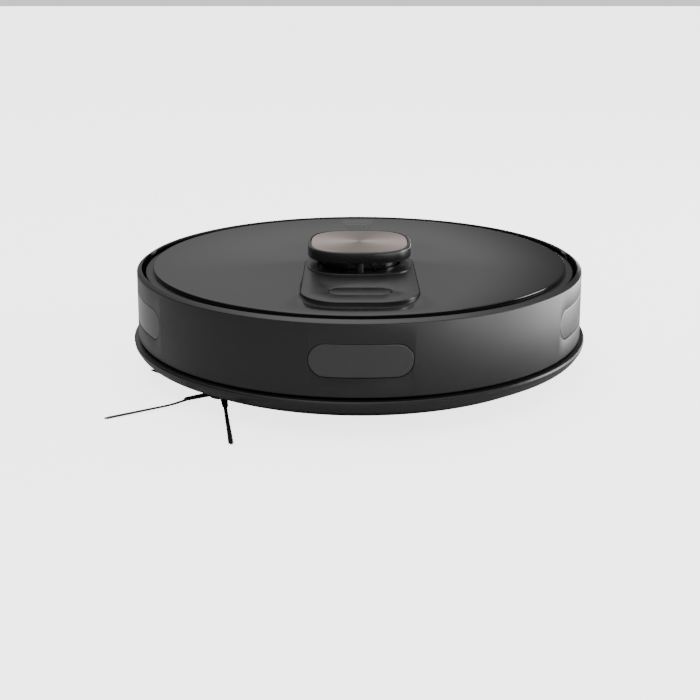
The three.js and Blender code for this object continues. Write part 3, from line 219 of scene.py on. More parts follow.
def carve(thing, *tools, keep=False, edge=0.0, crease=35):
    """Cuts tool shapes from an object (or keeps only what lies in them), then bevels the new edges."""
    cutters = []
    for shape in tools:
        cutter = make("cutter", shape)
        step = thing.modifiers.new("cut", "BOOLEAN")
        step.operation = "INTERSECT" if keep else "DIFFERENCE"
        step.solver = "EXACT"
        step.object = cutter
        cutters.append(cutter)
    if edge:
        bevel = thing.modifiers.new("edge", "BEVEL")
        bevel.width = edge * MM
        bevel.segments = 2
        bevel.limit_method = "ANGLE"
        bevel.angle_limit = math.radians(50)
        bevel.miter_outer = "MITER_ARC"
    apply_modifiers(thing)
    for cutter in cutters:
        bpy.data.objects.remove(cutter)
    soften(thing, crease)
    return thing


def place(thing, body, slot, material, *nodes):
    """The piece rides on a body, takes the material given and stands for the CAD nodes named; slot is not used.
    """
    thing.data.materials.clear()
    thing.data.materials.append(material)
    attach(thing, body)
    if nodes:
        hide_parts(*nodes)
    print(f"{thing.name}: {len(thing.data.vertices)} points on {body}")
    return thing


# %% [markdown]
# Outlines that come back: the pill of the windows and the key, a rectangle with rounded corners, and
# the superellipse of the turret. Each comes with its outward normals, so that rings can step inwards.

# %% Outlines
def stadium(length, height, sides=96):
    """A pill: points at distance height / 2 from a middle line, with their outward normals."""
    angle = np.linspace(0, 2 * math.pi, sides, endpoint=False) + math.pi / sides
    normals = np.stack([np.cos(angle), np.sin(angle)], axis=-1)
    half = (length - height) / 2
    middle = np.stack([half * np.sign(normals[:, 0]), np.zeros(sides)], axis=-1)
    return middle + normals * height / 2, normals


def outline_normals(outline):
    """Unit normals of a closed outline that runs anticlockwise, from its neighbours' chord."""
    chord = np.roll(outline, -1, axis=0) - np.roll(outline, 1, axis=0)
    normals = np.stack([chord[:, 1], -chord[:, 0]], axis=-1)
    return normals / np.linalg.norm(normals, axis=1, keepdims=True)


def rectangle(x0, x1, y0, y1, front, rear=None, steps=12):
    """A rectangle whose front corners (low y) have one radius and its rear corners another."""
    rear = front if rear is None else rear
    corners = [(x0, y0, front), (x1, y0, front), (x1, y1, rear), (x0, y1, rear)]
    path = rounded(corners, steps)[:-1]
    return path, outline_normals(path)


def squircle(half_width, half_depth, centre_y, power=2.9, sides=160):
    """|x / a|^n + |y / b|^n = 1 about the turret axis, with its outward normals."""
    angle = np.linspace(0, 2 * math.pi, sides, endpoint=False)
    cosine, sine = np.cos(angle), np.sin(angle)
    x = half_width * np.sign(cosine) * np.abs(cosine) ** (2 / power)
    y = half_depth * np.sign(sine) * np.abs(sine) ** (2 / power)
    slope = np.stack([np.sign(x) * np.abs(x / half_width) ** (power - 1) / half_width,
                      np.sign(y) * np.abs(y / half_depth) ** (power - 1) / half_depth], axis=-1)
    normals = slope / np.linalg.norm(slope, axis=1, keepdims=True)
    return np.stack([x, centre_y + y], axis=-1), normals

# %% [markdown]
# Every material is a small node tree. One function adds a node, sets it and links what it is given;
# colours are written as sRGB hex and turned to linear light by one function, because shaders add and
# multiply light. Patterns read Object coordinates in metres, so their scale is 1 / size in metres.

# %% Material tools
def linear(code):
    """An sRGB hex colour as linear RGBA: below 0.04045 divided by 12.92, above it a 2.4 power."""
    values = [int(code[i:i + 2], 16) / 255 for i in (1, 3, 5)]
    return [v / 12.92 if v <= 0.04045 else ((v + 0.055) / 1.055) ** 2.4 for v in values] + [1.0]


def add_node(tree, kind, inputs=None, **settings):
    """One node: settings are its properties, inputs its sockets by name or number, values or links."""
    node = tree.nodes.new(kind)
    for key, value in settings.items():
        setattr(node, key, value)
    for key, value in (inputs or {}).items():
        if isinstance(value, bpy.types.NodeSocket):
            tree.links.new(value, node.inputs[key])
        else:
            node.inputs[key].default_value = value
    return node


def new_material(name, code, roughness, **sockets):
    """A Principled material with its constants on its own sockets; returns it, its tree and shader."""
    material = bpy.data.materials.new(name)
    material.use_nodes = True
    tree = material.node_tree
    shader = tree.nodes["Principled BSDF"]
    shader.inputs["Base Color"].default_value = linear(code)
    shader.inputs["Roughness"].default_value = roughness
    for key, value in sockets.items():
        shader.inputs[key.replace("_", " ")].default_value = value
    material.diffuse_color = linear(code)
    return material, tree, shader


def speckle(tree, size_mm, detail=2.0):
    """Soft noise whose grains are about size_mm across, from Object coordinates."""
    place_of = add_node(tree, "ShaderNodeTexCoord")
    return add_node(tree, "ShaderNodeTexNoise", {
        "Vector": place_of.outputs["Object"], "Scale": 1 / (size_mm * MM), "Detail": detail})


def vary(tree, shader, socket, source, low, high):
    """A socket that runs from low to high as a 0 to 1 pattern runs from 0.3 to 0.7."""
    ramp = add_node(tree, "ShaderNodeMapRange", {
        "Value": source, "From Min": 0.3, "From Max": 0.7, "To Min": low, "To Max": high})
    tree.links.new(ramp.outputs["Result"], shader.inputs[socket])


def tint(tree, shader, source, low, high):
    """Base colour between two sRGB hex colours by a pattern."""
    mix = add_node(tree, "ShaderNodeMix", {"Factor": source, "A": linear(low), "B": linear(high)},
                   data_type="RGBA")
    tree.links.new(mix.outputs["Result"], shader.inputs["Base Color"])


def emboss(tree, shader, source, depth_mm, strength=1.0):
    """A bump of depth_mm from a 0 to 1 pattern."""
    bump = add_node(tree, "ShaderNodeBump", {
        "Height": source, "Distance": depth_mm * MM, "Strength": strength})
    tree.links.new(bump.outputs["Normal"], shader.inputs["Normal"])


# %% [markdown]
# ABS for the bumper, the rear shell and the base: injection moulded in a tool whose wall was spark
# eroded, so the skin has a fine even grain and a satin sheen. The real grain is 0.05 mm and can't
# show at this distance, so it is drawn at 0.6 mm and very shallow; broad patches 30 mm wide change the
# roughness a little, as handling does.

# %% Satin ABS
def satin_abs(name, low, high, roughness):
    material, tree, shader = new_material(name, low, roughness, IOR=1.53)
    grain = speckle(tree, 0.6, 3.0)
    patches = speckle(tree, 30)
    tint(tree, shader, patches.outputs["Fac"], low, high)
    vary(tree, shader, "Roughness", patches.outputs["Fac"], roughness - 0.03, roughness + 0.03)
    emboss(tree, shader, grain.outputs["Fac"], 0.02, 0.35)
    return material


shell_abs = satin_abs("abs_satin_black", "#161617", "#1a1a1b", 0.36)
deck_abs = satin_abs("abs_deck_black", "#0c0c0d", "#101011", 0.5)
grey_abs = satin_abs("abs_grey_inner", "#55585b", "#5f6265", 0.5)

# %% [markdown]
# The panel is a sheet of acrylic with a dark back print and a hard glossy face. Acrylic has an IOR of
# 1.49; the face is almost a mirror at low angles. Faint cloudiness 40 mm wide in the roughness stands
# for wiping. The turret, its fairing and the key are moulded ABS with a softer gloss.

# %% Gloss plastics
panel_acrylic, tree, shader = new_material("acrylic_gloss_panel", "#1d1d1e", 0.1, IOR=1.49)
haze = speckle(tree, 40)
tint(tree, shader, haze.outputs["Fac"], "#1c1c1d", "#1f1f20")
vary(tree, shader, "Roughness", haze.outputs["Fac"], 0.08, 0.12)


def gloss_abs(name, low, high, roughness, ior=1.53):
    material, tree, shader = new_material(name, low, roughness, IOR=ior)
    waves = speckle(tree, 12, 1.0)
    tint(tree, shader, waves.outputs["Fac"], low, high)
    vary(tree, shader, "Roughness", waves.outputs["Fac"], roughness - 0.02, roughness + 0.03)
    emboss(tree, shader, waves.outputs["Fac"], 0.01, 0.2)
    return material


turret_abs = gloss_abs("abs_gloss_black", "#1c1c1d", "#1f1f20", 0.3)
fairing_abs = gloss_abs("abs_semi_gloss_fairing", "#1d1d1e", "#202021", 0.34)
key_abs = gloss_abs("abs_gloss_key", "#101011", "#131314", 0.3)
rotor_pc = gloss_abs("polycarbonate_smoked_rotor", "#1a1b1d", "#1e1f21", 0.2, 1.585)
bin_pc = gloss_abs("polycarbonate_smoked_bin", "#232527", "#282a2c", 0.16, 1.585)
window_pc = gloss_abs("polycarbonate_infrared_window", "#343436", "#38383a", 0.12, 1.585)

# %% [markdown]
# The plate in the cap is aluminium, turned on a lathe with a fine tool and anodised bronze. The turned
# rings stretch highlights into bright rays from the middle: anisotropic reflection along the rings.
# The ring's direction comes from a UV map whose u runs round the plate. The rays are helped by a painted
# highlight: the colour is lighter in two opposite sectors and darker between them. Rings 0.5 mm apart
# stand in for the real 0.1 mm ones.

# %% Turned aluminium
inlay_metal, tree, shader = new_material("aluminium_turned_bronze", "#a8978f", 0.3, Metallic=1.0)
shader.inputs["Anisotropic"].default_value = 0.75
polar_map = add_node(tree, "ShaderNodeUVMap", uv_map="polar")
tangent = add_node(tree, "ShaderNodeTangent", direction_type="UV_MAP", uv_map="polar")
tree.links.new(tangent.outputs["Tangent"], shader.inputs["Tangent"])
parts = add_node(tree, "ShaderNodeSeparateXYZ", {"Vector": polar_map.outputs["UV"]})
# Painted highlight: two bright and two dark sectors round the plate, painted into the colour as rays of light.
turns = add_node(tree, "ShaderNodeMath", {0: parts.outputs["X"], 1: 4 * math.pi}, operation="MULTIPLY")
painted_highlight_sectors = add_node(tree, "ShaderNodeMath", {0: turns.outputs[0]}, operation="COSINE")
painted_highlight_share = add_node(tree, "ShaderNodeMapRange", {
    "Value": painted_highlight_sectors.outputs[0], "From Min": -1, "From Max": 1, "To Min": 0.3, "To Max": 0.7})
ring_count = add_node(tree, "ShaderNodeMath", {0: parts.outputs["Y"], 1: 72 * 2 * math.pi},
                      operation="MULTIPLY")
ring_wave = add_node(tree, "ShaderNodeMath", {0: ring_count.outputs[0]}, operation="SINE")
# The lighter colour #d2c1b9 is painted highlight, laid in the bright sectors.
tint(tree, shader, painted_highlight_share.outputs["Result"], "#a8978f", "#d2c1b9")
emboss(tree, shader, ring_wave.outputs[0], 0.004, 0.4)

# %% [markdown]
# Rubber, filaments, metals and papers of the working parts. Tyre rubber is dusty and nearly matt; the
# blades are cast polyurethane; steel parts are zinc plated; contacts are nickel under a thin gold
# flash; the filter is pleated paper; cells wear a shrink sleeve; the board has green solder mask.

# %% Working materials
def plain_finish(name, low, high, roughness, size_mm, depth_mm, **sockets):
    material, tree, shader = new_material(name, low, roughness, **sockets)
    pattern = speckle(tree, size_mm, 4.0)
    tint(tree, shader, pattern.outputs["Fac"], low, high)
    vary(tree, shader, "Roughness", pattern.outputs["Fac"], roughness - 0.05, roughness + 0.05)
    emboss(tree, shader, pattern.outputs["Fac"], depth_mm, 0.5)
    return material


tyre_rubber = plain_finish("rubber_tyre", "#18181a", "#242426", 0.8, 1.2, 0.05)
blade_urethane = plain_finish("polyurethane_red", "#7c2a24", "#8e332b", 0.45, 2.0, 0.03)
red_abs = plain_finish("abs_red_clip", "#8c2f28", "#9a3830", 0.45, 1.5, 0.02)
filament = plain_finish("nylon_filament", "#0f0f10", "#191919", 0.45, 3.0, 0.0)
zinc_steel = plain_finish("steel_zinc_plated", "#a9abad", "#bcbec0", 0.3, 1.0, 0.01, Metallic=1.0)
gold_flash = plain_finish("nickel_gold_flash", "#c0a871", "#cfb882", 0.28, 0.8, 0.01, Metallic=1.0)
filter_paper = plain_finish("paper_filter", "#cfcfc8", "#dedfd8", 0.9, 0.6, 0.06)
cell_sleeve = plain_finish("pvc_cell_sleeve", "#24365f", "#2b3f6d", 0.4, 4.0, 0.02)
solder_mask = plain_finish("epoxy_board_green", "#16472f", "#1c5539", 0.4, 1.5, 0.03)
light_bar = plain_finish("acrylic_light_bar", "#5b5e61", "#66696c", 0.3, 2.0, 0.0)
print(len(bpy.data.materials), "materials")

# %% [markdown]
# The CAD's own pieces are facetted, which is fine for a check and poor for a curved rim. Where only
# the outer edge of a CAD piece is round and seen, its middle is kept: a merged copy is cut by a fine
# cylinder, and a finely turned ring takes the place of the edge.

# %% Keep the middle of a CAD piece
def copy_of(node, name):
    """A merged copy of a CAD node's mesh as a new object."""
    thing = bpy.data.objects.new(name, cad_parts[node].data.copy())
    thing.data.materials.clear()
    bpy.context.scene.collection.objects.link(thing)
    work = bmesh.new()
    work.from_mesh(thing.data)
    bmesh.ops.remove_doubles(work, verts=work.verts, dist=2e-6)
    work.to_mesh(thing.data)
    work.free()
    return thing


def weld(thing, *shapes, crease=35):
    """Joins shapes to an object as one solid."""
    tools = [make("tool", shape) for shape in shapes]
    for tool in tools:
        step = thing.modifiers.new("weld", "BOOLEAN")
        step.operation, step.solver, step.object = "UNION", "EXACT", tool
    apply_modifiers(thing)
    for tool in tools:
        bpy.data.objects.remove(tool)
    soften(thing, crease)
    return thing


def across(outline, low, high):
    """An outline in y and z carried along x."""
    points, faces = prism(outline, low, high)
    return points[:, [2, 0, 1]], faces


# %% [markdown]
# The base is a tray with a flange that stands out under the bumper. Its flat floor, wells and posts
# come from the CAD; the flange is turned from a profile with soft corners, because light runs along it.

# %% Base and flange
floor_edge = 157.5
flange = rounded([(floor_edge - 1, 0.5, 0), (158, 0.5, 6), (172, 8, 6), (174.7, 12.6, 2), (175, 15.0, 0.6),
                  (174.3, 16.3, 0.5), (163, 16.3, 0.8), (155.2, 3.1, 1), (floor_edge - 3, 3.1, 0)], 6)
base = copy_of("base_plate", "base_tray")
carve(base, turned([(0, -5), (floor_edge, -5), (floor_edge, 60), (0, 60)], 256), keep=True)
base_ring = turned(flange[:-1].tolist() + [flange[0].tolist()], 384)
weld(base, base_ring)
place(base, "chassis", "shell", shell_abs, "base_plate")

# %% [markdown]
# Bumper and rear shell share one section: a drafted face, a chamfer and a narrow flat rim with a thin
# wall behind. Each is a full ring cut to its arc. The bumper's upper ends are rounded, and the three
# sensor windows sit in pill-shaped holes; a small bevel after the cuts catches the light.

# %% Wall section and cutters
shell_bottom, shell_radius, shell_draft, shell_top = 18.0, 171.4, 1.4, 67.2


def wall(bottom, rim_flat):
    """Outer wall section: face, chamfer, rim and the inside of a 2.6 mm wall."""
    rim_radius = 166.9
    return rounded([
        (shell_radius, bottom, 0.5), (shell_radius - shell_draft, shell_top, 0.9), (rim_radius, 69.2, 0.35),
        (rim_radius - rim_flat, 69.2, 0.25), (rim_radius - rim_flat, 67.8, 0),
        (shell_radius - 4.0, 64.8, 0), (shell_radius - 2.6, bottom, 0.4)], 5)


def rim_corner(y, direction, radius=5.0):
    """What lies outside a quarter circle at the upper corner of an end at y."""
    angle = np.linspace(0, math.pi / 2, 13)
    arc = np.stack([y - direction * radius * (1 - np.cos(angle)),
                    69.2 - radius * (1 - np.sin(angle))], axis=-1)
    corner = [(y - direction * radius, 72), (y + direction * 3, 72), (y + direction * 3, 69.2 - radius)]
    return across(np.vstack([arc, corner]), -180, 180)


def shell_reach(z):
    """Radius of the drafted face at a height."""
    return shell_radius - shell_draft * (z - shell_bottom) / (shell_top - shell_bottom)


def long_pill(length, height, straight=24, arc=20):
    """A pill with points along its straight sides too, anticlockwise, with outward normals."""
    half = (length - height) / 2
    turn = np.linspace(-math.pi / 2, math.pi / 2, arc + 1)
    line = np.linspace(-half, half, straight + 1)[1:-1]
    end = np.stack([half + height / 2 * np.cos(turn), height / 2 * np.sin(turn)], axis=-1)
    top = np.stack([line[::-1], np.full(line.size, height / 2)], axis=-1)
    side = np.vstack([end, top])
    normals = np.vstack([np.stack([np.cos(turn), np.sin(turn)], axis=-1),
                         np.tile([0.0, 1.0], (line.size, 1))])
    return np.vstack([side, -side]), np.vstack([normals, -normals])


# %% Bumper
window_z = 42.6
window_places = {"front_window": 0.0, "left_window": 66.5, "right_window": -66.5}
hole = long_pill(68.6, 22.6)[0] + [0, window_z]
bumper_wall = wall(shell_bottom, 0.5)
bumper = make("bumper", turned(bumper_wall[:-1].tolist() + [bumper_wall[0].tolist()], 480))
carve(bumper, block((-180, -180, 0), (180, 20.5, 75)), keep=True)
carve(bumper, rim_corner(20.5, 1), *[facing(hole, a, 120, 180) for a in window_places.values()], edge=0.3)
place(bumper, "bumper", "shell", shell_abs, "bumper_shell")

# %% [markdown]
# The windows are tinted polycarbonate that lets infrared light out. Each is a curved pane: rings of a
# pill outline that step from the back of its edge, over a rounded corner and in to its middle line,
# with every point pushed out to the drafted face.

# %% Sensor windows
def pane(azimuth, length=68.0, height=22.0, thickness=2.0, round_edge=0.5):
    outline, normals = long_pill(length, height)
    corner = np.linspace(0, math.pi / 2, 5)
    steps = [(height / 2, thickness), (height / 4, thickness), (0, thickness)]
    steps += list(zip(round_edge * (1 - np.cos(corner)), round_edge * (1 - np.sin(corner))))
    steps += [(height / 2 * share, 0) for share in (0.15, 0.3, 0.5, 0.7, 0.85, 1.0)]
    inset, depth = np.array(steps).T
    flat = outline[None] - inset[:, None, None] * normals[None]
    z = flat[..., 1] + window_z
    out = np.sqrt((shell_reach(z) - 0.1 - depth[:, None]) ** 2 - flat[..., 0] ** 2)
    turn = math.radians(azimuth)
    x = flat[..., 0] * math.cos(turn) + out * math.sin(turn)
    y = flat[..., 0] * math.sin(turn) - out * math.cos(turn)
    return grid(np.stack([x, y, z], axis=-1))


for node, azimuth in window_places.items():
    place(make(node + "_pane", pane(azimuth)), "bumper", "window", window_pc, node)

# %% [markdown]
# The rear shell is fixed. It is cut for the dust bin, which slides out backwards, and for the outlet
# of the fan, which has a slotted grille of its own.

# %% Rear shell and grille
low, high = span("exhaust_grille")
outlet_azimuth = 90 + math.degrees(math.atan2((low + high)[1], (low + high)[0]))
outlet_z = (low + high)[2] / 2
rear_start = 24.8
outlet = rectangle(-20.3, 20.3, outlet_z - 9.3, outlet_z + 9.3, 3.3)[0]
bin_low, bin_high = span("bin_lid")
rear = make("rear_wall", turned(wall(16.6, 2.0)[:-1].tolist() + [wall(16.6, 2.0)[0].tolist()], 480))
carve(rear, block((-180, rear_start, 0), (180, 180, 75)), keep=True)
carve(rear, rim_corner(rear_start, -1), facing(outlet, outlet_azimuth, 130, 180),
      block((bin_low[0] - 0.6, 67, 0), (bin_high[0] + 0.6, 180, bin_high[2] + 0.6)), edge=0.3)
place(rear, "chassis", "shell", shell_abs, "rear_shell")

grille = make("outlet_grille", turned([(167.6, 30), (171.0, 30), (169.9, 56), (166.5, 56), (167.6, 30)], 480))
carve(grille, facing(rectangle(-20, 20, outlet_z - 9, outlet_z + 9, 3)[0], outlet_azimuth, 130, 180),
      keep=True)
slots = [facing(stadium(12, 2.6, 24)[0][:, ::-1] + [(i - 3.5) * 40 / 9, outlet_z], outlet_azimuth, 150, 180)
         for i in range(8)]
carve(grille, *slots, edge=0.2)
place(grille, "chassis", "shell", shell_abs, "exhaust_grille")

# %% [markdown]
# The deck closes the body under the panel. Only its edge shows, as the dark floor of the groove inside
# the rim, so the middle stays from the CAD and the edge and skirt are turned again.

# %% Deck
deck_core = 160.0
deck = copy_of("top_deck", "deck")
carve(deck, turned([(0, 0), (deck_core, 0), (deck_core, 80), (0, 80)], 256), keep=True)
deck_edge = rounded([(deck_core - 0.5, 63.5, 0), (163.4, 63.5, 0), (163.4, 66.0, 0.5),
                     (deck_core - 0.5, 66.0, 0)], 4)
skirt = make("skirt", turned([(161, 16.6), (163.4, 16.6), (163.4, 64.0), (161, 64.0), (161, 16.6)], 384))
carve(skirt, block((-180, -180, 0), (180, 32.8, 75)), keep=True)
weld(deck, turned(deck_edge, 384))
step = deck.modifiers.new("weld", "BOOLEAN")
step.operation, step.solver, step.object = "UNION", "EXACT", skirt
apply_modifiers(deck)
bpy.data.objects.remove(skirt)
lever = rectangle(-2.8, 2.8, window_z - 2.8, window_z + 2.8, 1.0)[0]
carve(deck, *[facing(lever, a, 155, 175) for a in (30, -30)])
place(deck, "chassis", "shell", deck_abs, "top_deck")

# %% [markdown]
# The panel is the broad glossy disc on top: a turned disc with a rounded edge, with a cut-out for the
# turret's base and a slot for the status light. The light is a thin translucent bar set flush.

# %% Panel and status light
panel_top = span("top_panel")[1][2]
panel_radius = span("top_panel")[1][0]
panel_low = span("top_panel")[0][2]
fairing_low, fairing_high = span("tower_base")
light_low, light_high = span("status_light")
fairing = rectangle(-41, 41, fairing_low[1], 21.8, 28, 37, 24)[0]
fairing_hole = rectangle(-41.3, 41.3, fairing_low[1] - 0.3, 22.1, 28.3, 37.3, 24)[0]
light_middle = [0, (light_low[1] + light_high[1]) / 2]
edge = rounded([(0, panel_low, 0), (panel_radius, panel_low, 0.6), (panel_radius, panel_top, 1.0),
                (0, panel_top, 0)],
               6, closed=False)
edge = np.vstack([edge[:-1], [[panel_radius - 2.5, panel_top]], edge[-1:]])
panel = make("panel", turned(edge, 512))
carve(panel, prism(fairing_hole, 60, 75),
      prism(stadium(23.6, 2.1, 32)[0] + light_middle, panel_top - 1.5, 75),
      edge=0.15)
place(panel, "chassis", "panel", panel_acrylic, "top_panel")
bar_outline, bar_normals = stadium(23, 1.5, 32)


def lofted(outline, normals, steps):
    """Rings of an outline from (inset, z) steps, closed by flat many-sided ends."""
    points, faces = rings(outline, normals, steps)
    count = len(outline)
    last = len(points) - count
    ends = [list(range(count))[::-1], list(range(last, last + count))]
    return points, faces.tolist() + ends


def soft_top(low, high, radius, steps=5):
    """(inset, z) steps of a straight side with a rounded top edge."""
    angle = np.linspace(0, math.pi / 2, steps + 1)
    return [(0, low)] + list(zip(radius * (1 - np.cos(angle)), high - radius * (1 - np.sin(angle))))


bar = make("status_bar", lofted(bar_outline + light_middle, bar_normals,
                                soft_top(light_low[2], light_high[2], 0.2)))
place(bar, "chassis", "light", light_bar, "status_light")

# %% [markdown]
# The turret: a low fairing with the start key, a collar that follows the cap's outline, the rotor with
# its lens, and the cap on three posts. The cap's outline is a superellipse, between an ellipse and a
# rectangle, with the exponent 2.9.

# %% Fairing and collar
turret_y = -20.0
fairing_normals = outline_normals(fairing)
collar, collar_normals = squircle(39.55, 40.8, turret_y)
fairing_top, collar_top = 70.5, fairing_high[2]
body = make("turret_base", lofted(fairing, fairing_normals, soft_top(fairing_low[2], fairing_top, 0.9)))
collar_steps = [(0, fairing_top - 1)] + soft_top(fairing_top, collar_top, 0.5)
weld(body, lofted(collar, collar_normals, collar_steps))
key_low, key_high = span("start_key")
key_middle = [0, (key_low[1] + key_high[1]) / 2]
carve(body, turned([(0, 60), (30.5, 60), (30.5, 80), (0, 80)], 160, (0, turret_y)),
      prism(stadium(44, 19, 96)[0] + key_middle, 60, 75), edge=0.25)
place(body, "chassis", "gloss_black", fairing_abs, "tower_base")

key_outline, key_normals = stadium(43, 18, 96)
key = make("key_cap", lofted(key_outline + key_middle, key_normals, soft_top(key_low[2], key_high[2], 0.4)))
place(key, "key", "gloss_black", key_abs, "start_key")

# %% Rotor and lens
rotor_top = span("lidar_rotor")[1][2]
rotor_low = span("lidar_rotor")[0][2]
rotor_section = rounded([
    (0, rotor_low, 0), (18, rotor_low, 0.3), (18, rotor_low + 3.5, 0.3), (8, rotor_low + 3.5, 0),
    (8, 67.2, 0),
    (29, 67.2, 0.5), (29, rotor_top - 2, 0.8), (27, rotor_top, 0.8), (0, rotor_top, 0)], 5, closed=False)
rotor = make("rotor", turned(rotor_section, 192, (0, turret_y)))
lens_low, lens_high = span("lidar_lens")
lens_gap = 0.3
carve(rotor, block((lens_low[0] - lens_gap, -60, lens_low[2] - lens_gap),
                   (lens_high[0] + lens_gap, lens_high[1] + lens_gap, lens_high[2] + lens_gap)),
      edge=0.2)
place(rotor, "lidar", "rotor", rotor_pc, "lidar_rotor")

# %% Cap
cap_low, cap_high = span("tower_cap")
cap_bottom, cap_top = 79.2, cap_high[2]
cap_outline, cap_normals = squircle(38.75, 40.0, turret_y, sides=240)
angle = np.linspace(0, math.pi / 2, 7)
cap_steps = [(0.5, cap_bottom), (0.15, cap_bottom + 0.15), (0, cap_bottom + 0.5)]
cap_steps += list(zip(1.2 * (1 - np.cos(angle)), cap_top - 1.2 * (1 - np.sin(angle))))
cap_steps += [(2.1, cap_top), (2.3, cap_top - 0.2), (2.3, cap_top - 1.4)]
cap = make("turret_cap", lofted(cap_outline, cap_normals, cap_steps))
posts = [(0, cap_low[1] + 3.8), (28.98, turret_y + 22.77), (-28.98, turret_y + 22.77)]
weld(cap, *[turned([(0, cap_low[2]), (2.8, cap_low[2]), (2.8, 80.0), (0, 80.0)], 48, post) for post in posts])
place(cap, "chassis", "gloss_black", turret_abs, "tower_cap")

# %% [markdown]
# The plate of turned aluminium lies just below the cap's rim. Its points are on rays from the middle,
# scaled copies of the superellipse, so a polar UV map comes with them: u round the plate and v outwards.

# %% Inlay with a polar map
def turned_plate(name, half_width, half_depth, low, high, sides=240, rows=18, chamfer=0.35):
    outline = squircle(half_width, half_depth, 0.0, sides=sides)[0]
    scale = np.concatenate([np.linspace(0.002, 1 - chamfer / half_width, rows), [1.0, 1.0]])
    z = np.concatenate([np.full(rows, high), [high - chamfer, low]])
    flat = outline[None] * scale[:, None, None] + [0, turret_y]
    points = np.concatenate([flat, np.broadcast_to(z[:, None, None], flat.shape[:2] + (1,))], axis=-1)
    points, faces = grid(points)
    count = len(outline)
    last = len(points) - count
    middle = [list(range(count))[::-1], list(range(last, last + count))]
    thing = make(name, (points, faces.tolist() + middle))
    mesh = thing.data
    place_of = np.empty(len(mesh.vertices) * 3)
    mesh.vertices.foreach_get("co", place_of)
    place_of = place_of.reshape(-1, 3) / MM - [0, turret_y, 0]
    corner = np.empty(len(mesh.loops), int)
    mesh.loops.foreach_get("vertex_index", corner)
    turn = np.arctan2(place_of[:, 1], place_of[:, 0])[corner] / (2 * math.pi) % 1
    start = np.empty(len(mesh.polygons), int)
    mesh.polygons.foreach_get("loop_start", start)
    total = np.empty(len(mesh.polygons), int)
    mesh.polygons.foreach_get("loop_total", total)
    owner = np.repeat(np.arange(len(start)), total)
    highest = np.maximum.reduceat(turn, start)[owner]
    turn = np.where((highest - turn > 0.5) & (total[owner] < 10), turn + 1, turn)
    reach = np.hypot(place_of[:, 0], place_of[:, 1])[corner] / half_depth
    layer = mesh.uv_layers.new(name="polar")
    layer.data.foreach_set("uv", np.stack([turn, reach], axis=-1).ravel())
    return thing


inlay_low, inlay_high = span("cap_inlay")
inlay = turned_plate("cap_plate", 36.15, 37.4, inlay_low[2], inlay_high[2])
place(inlay, "chassis", "inlay", inlay_metal, "cap_inlay")

# %% [markdown]
# The dust bin slides out at the back. Its rear face carries on the wall's curve, so the tub and the lid
# are made from an outline whose rear side is an arc: the tub is that solid less its room, the inlet,
# the filter's outlet, a grip recess and the pocket of the release button.

# %% Dust bin
tub_low, tub_high = span("bin_tub")
bin_half = tub_high[0]


def bin_block(low, high, half, front, reach, rows=2):
    """A block whose rear side is an arc of radius reach(z), with rounded upright edges left sharp."""
    z = np.linspace(low, high, rows)
    across_rear = np.linspace(half, -half, 61)
    layers = []
    for height in z:
        rear_side = np.stack([across_rear, np.sqrt(reach(height) ** 2 - across_rear ** 2)], axis=-1)
        outline = np.vstack([[(-half, front), (half, front)], rear_side])
        layers.append(np.column_stack([outline, np.full(len(outline), height)]))
    points, faces = grid(np.stack(layers))
    count = len(layers[0])
    last = len(points) - count
    return points, faces.tolist() + [list(range(count))[::-1], list(range(last, last + count))]


def bin_reach(z):
    return 171.0 - 1.4 * z / 67.2


tub = make("bin_body", bin_block(tub_low[2], tub_high[2], bin_half, 67.0, bin_reach))
room = bin_block(tub_low[2] + 1.8, tub_high[2] + 5, bin_half - 1.8, 68.8, lambda z: 157.8)
inlet = block((-28, 60, 23.5), (28, 70, 39.5))
filter_low = span("bin_filter")[0]
side_outlet = block((bin_half - 3, filter_low[1] + 2, tub_low[2] + 4),
                    (bin_half + 2, filter_low[1] + 26, tub_low[2] + 20))
angle = np.linspace(0, 2 * math.pi, 65)[:-1]
grip = across(np.stack([174.9 + 10 * np.cos(angle), tub_low[2] + 16 + 10 * np.sin(angle)], axis=-1), -26, 26)
button_low, button_high = span("bin_button")
button_z = (button_low[2] + button_high[2]) / 2
pocket = facing(stadium(31, 9, 64)[0] + [0, button_z], 180, 165.4, 180)
carve(tub, room, inlet, side_outlet, grip, pocket, edge=0.35)
place(tub, "dust_bin", "bin", bin_pc, "bin_tub")
lid_low, lid_high = span("bin_lid")
lid = make("bin_cover", bin_block(lid_low[2], lid_high[2], bin_half, 67.0, bin_reach))
carve(lid, block((-60, 60, lid_low[2] + 1.6), (60, 60.1, lid_high[2])), edge=0.4)
place(lid, "dust_bin", "bin", bin_pc, "bin_lid")
button = make("bin_key", facing(stadium(30, 8, 64)[0] + [0, button_z], 180, 167.2, 180))
carve(button, bin_block(0, 67, 100, 100, lambda z: bin_reach(z) - 0.02), keep=True, edge=0.5)
place(button, "bin_release", "shell", shell_abs, "bin_button")

# %% [markdown]
# Tyres have a chevron tread: the radius is a function of the angle and the distance across, lower in
# the grooves. Wheels, caster wheel and hub are turned and laid on their side.

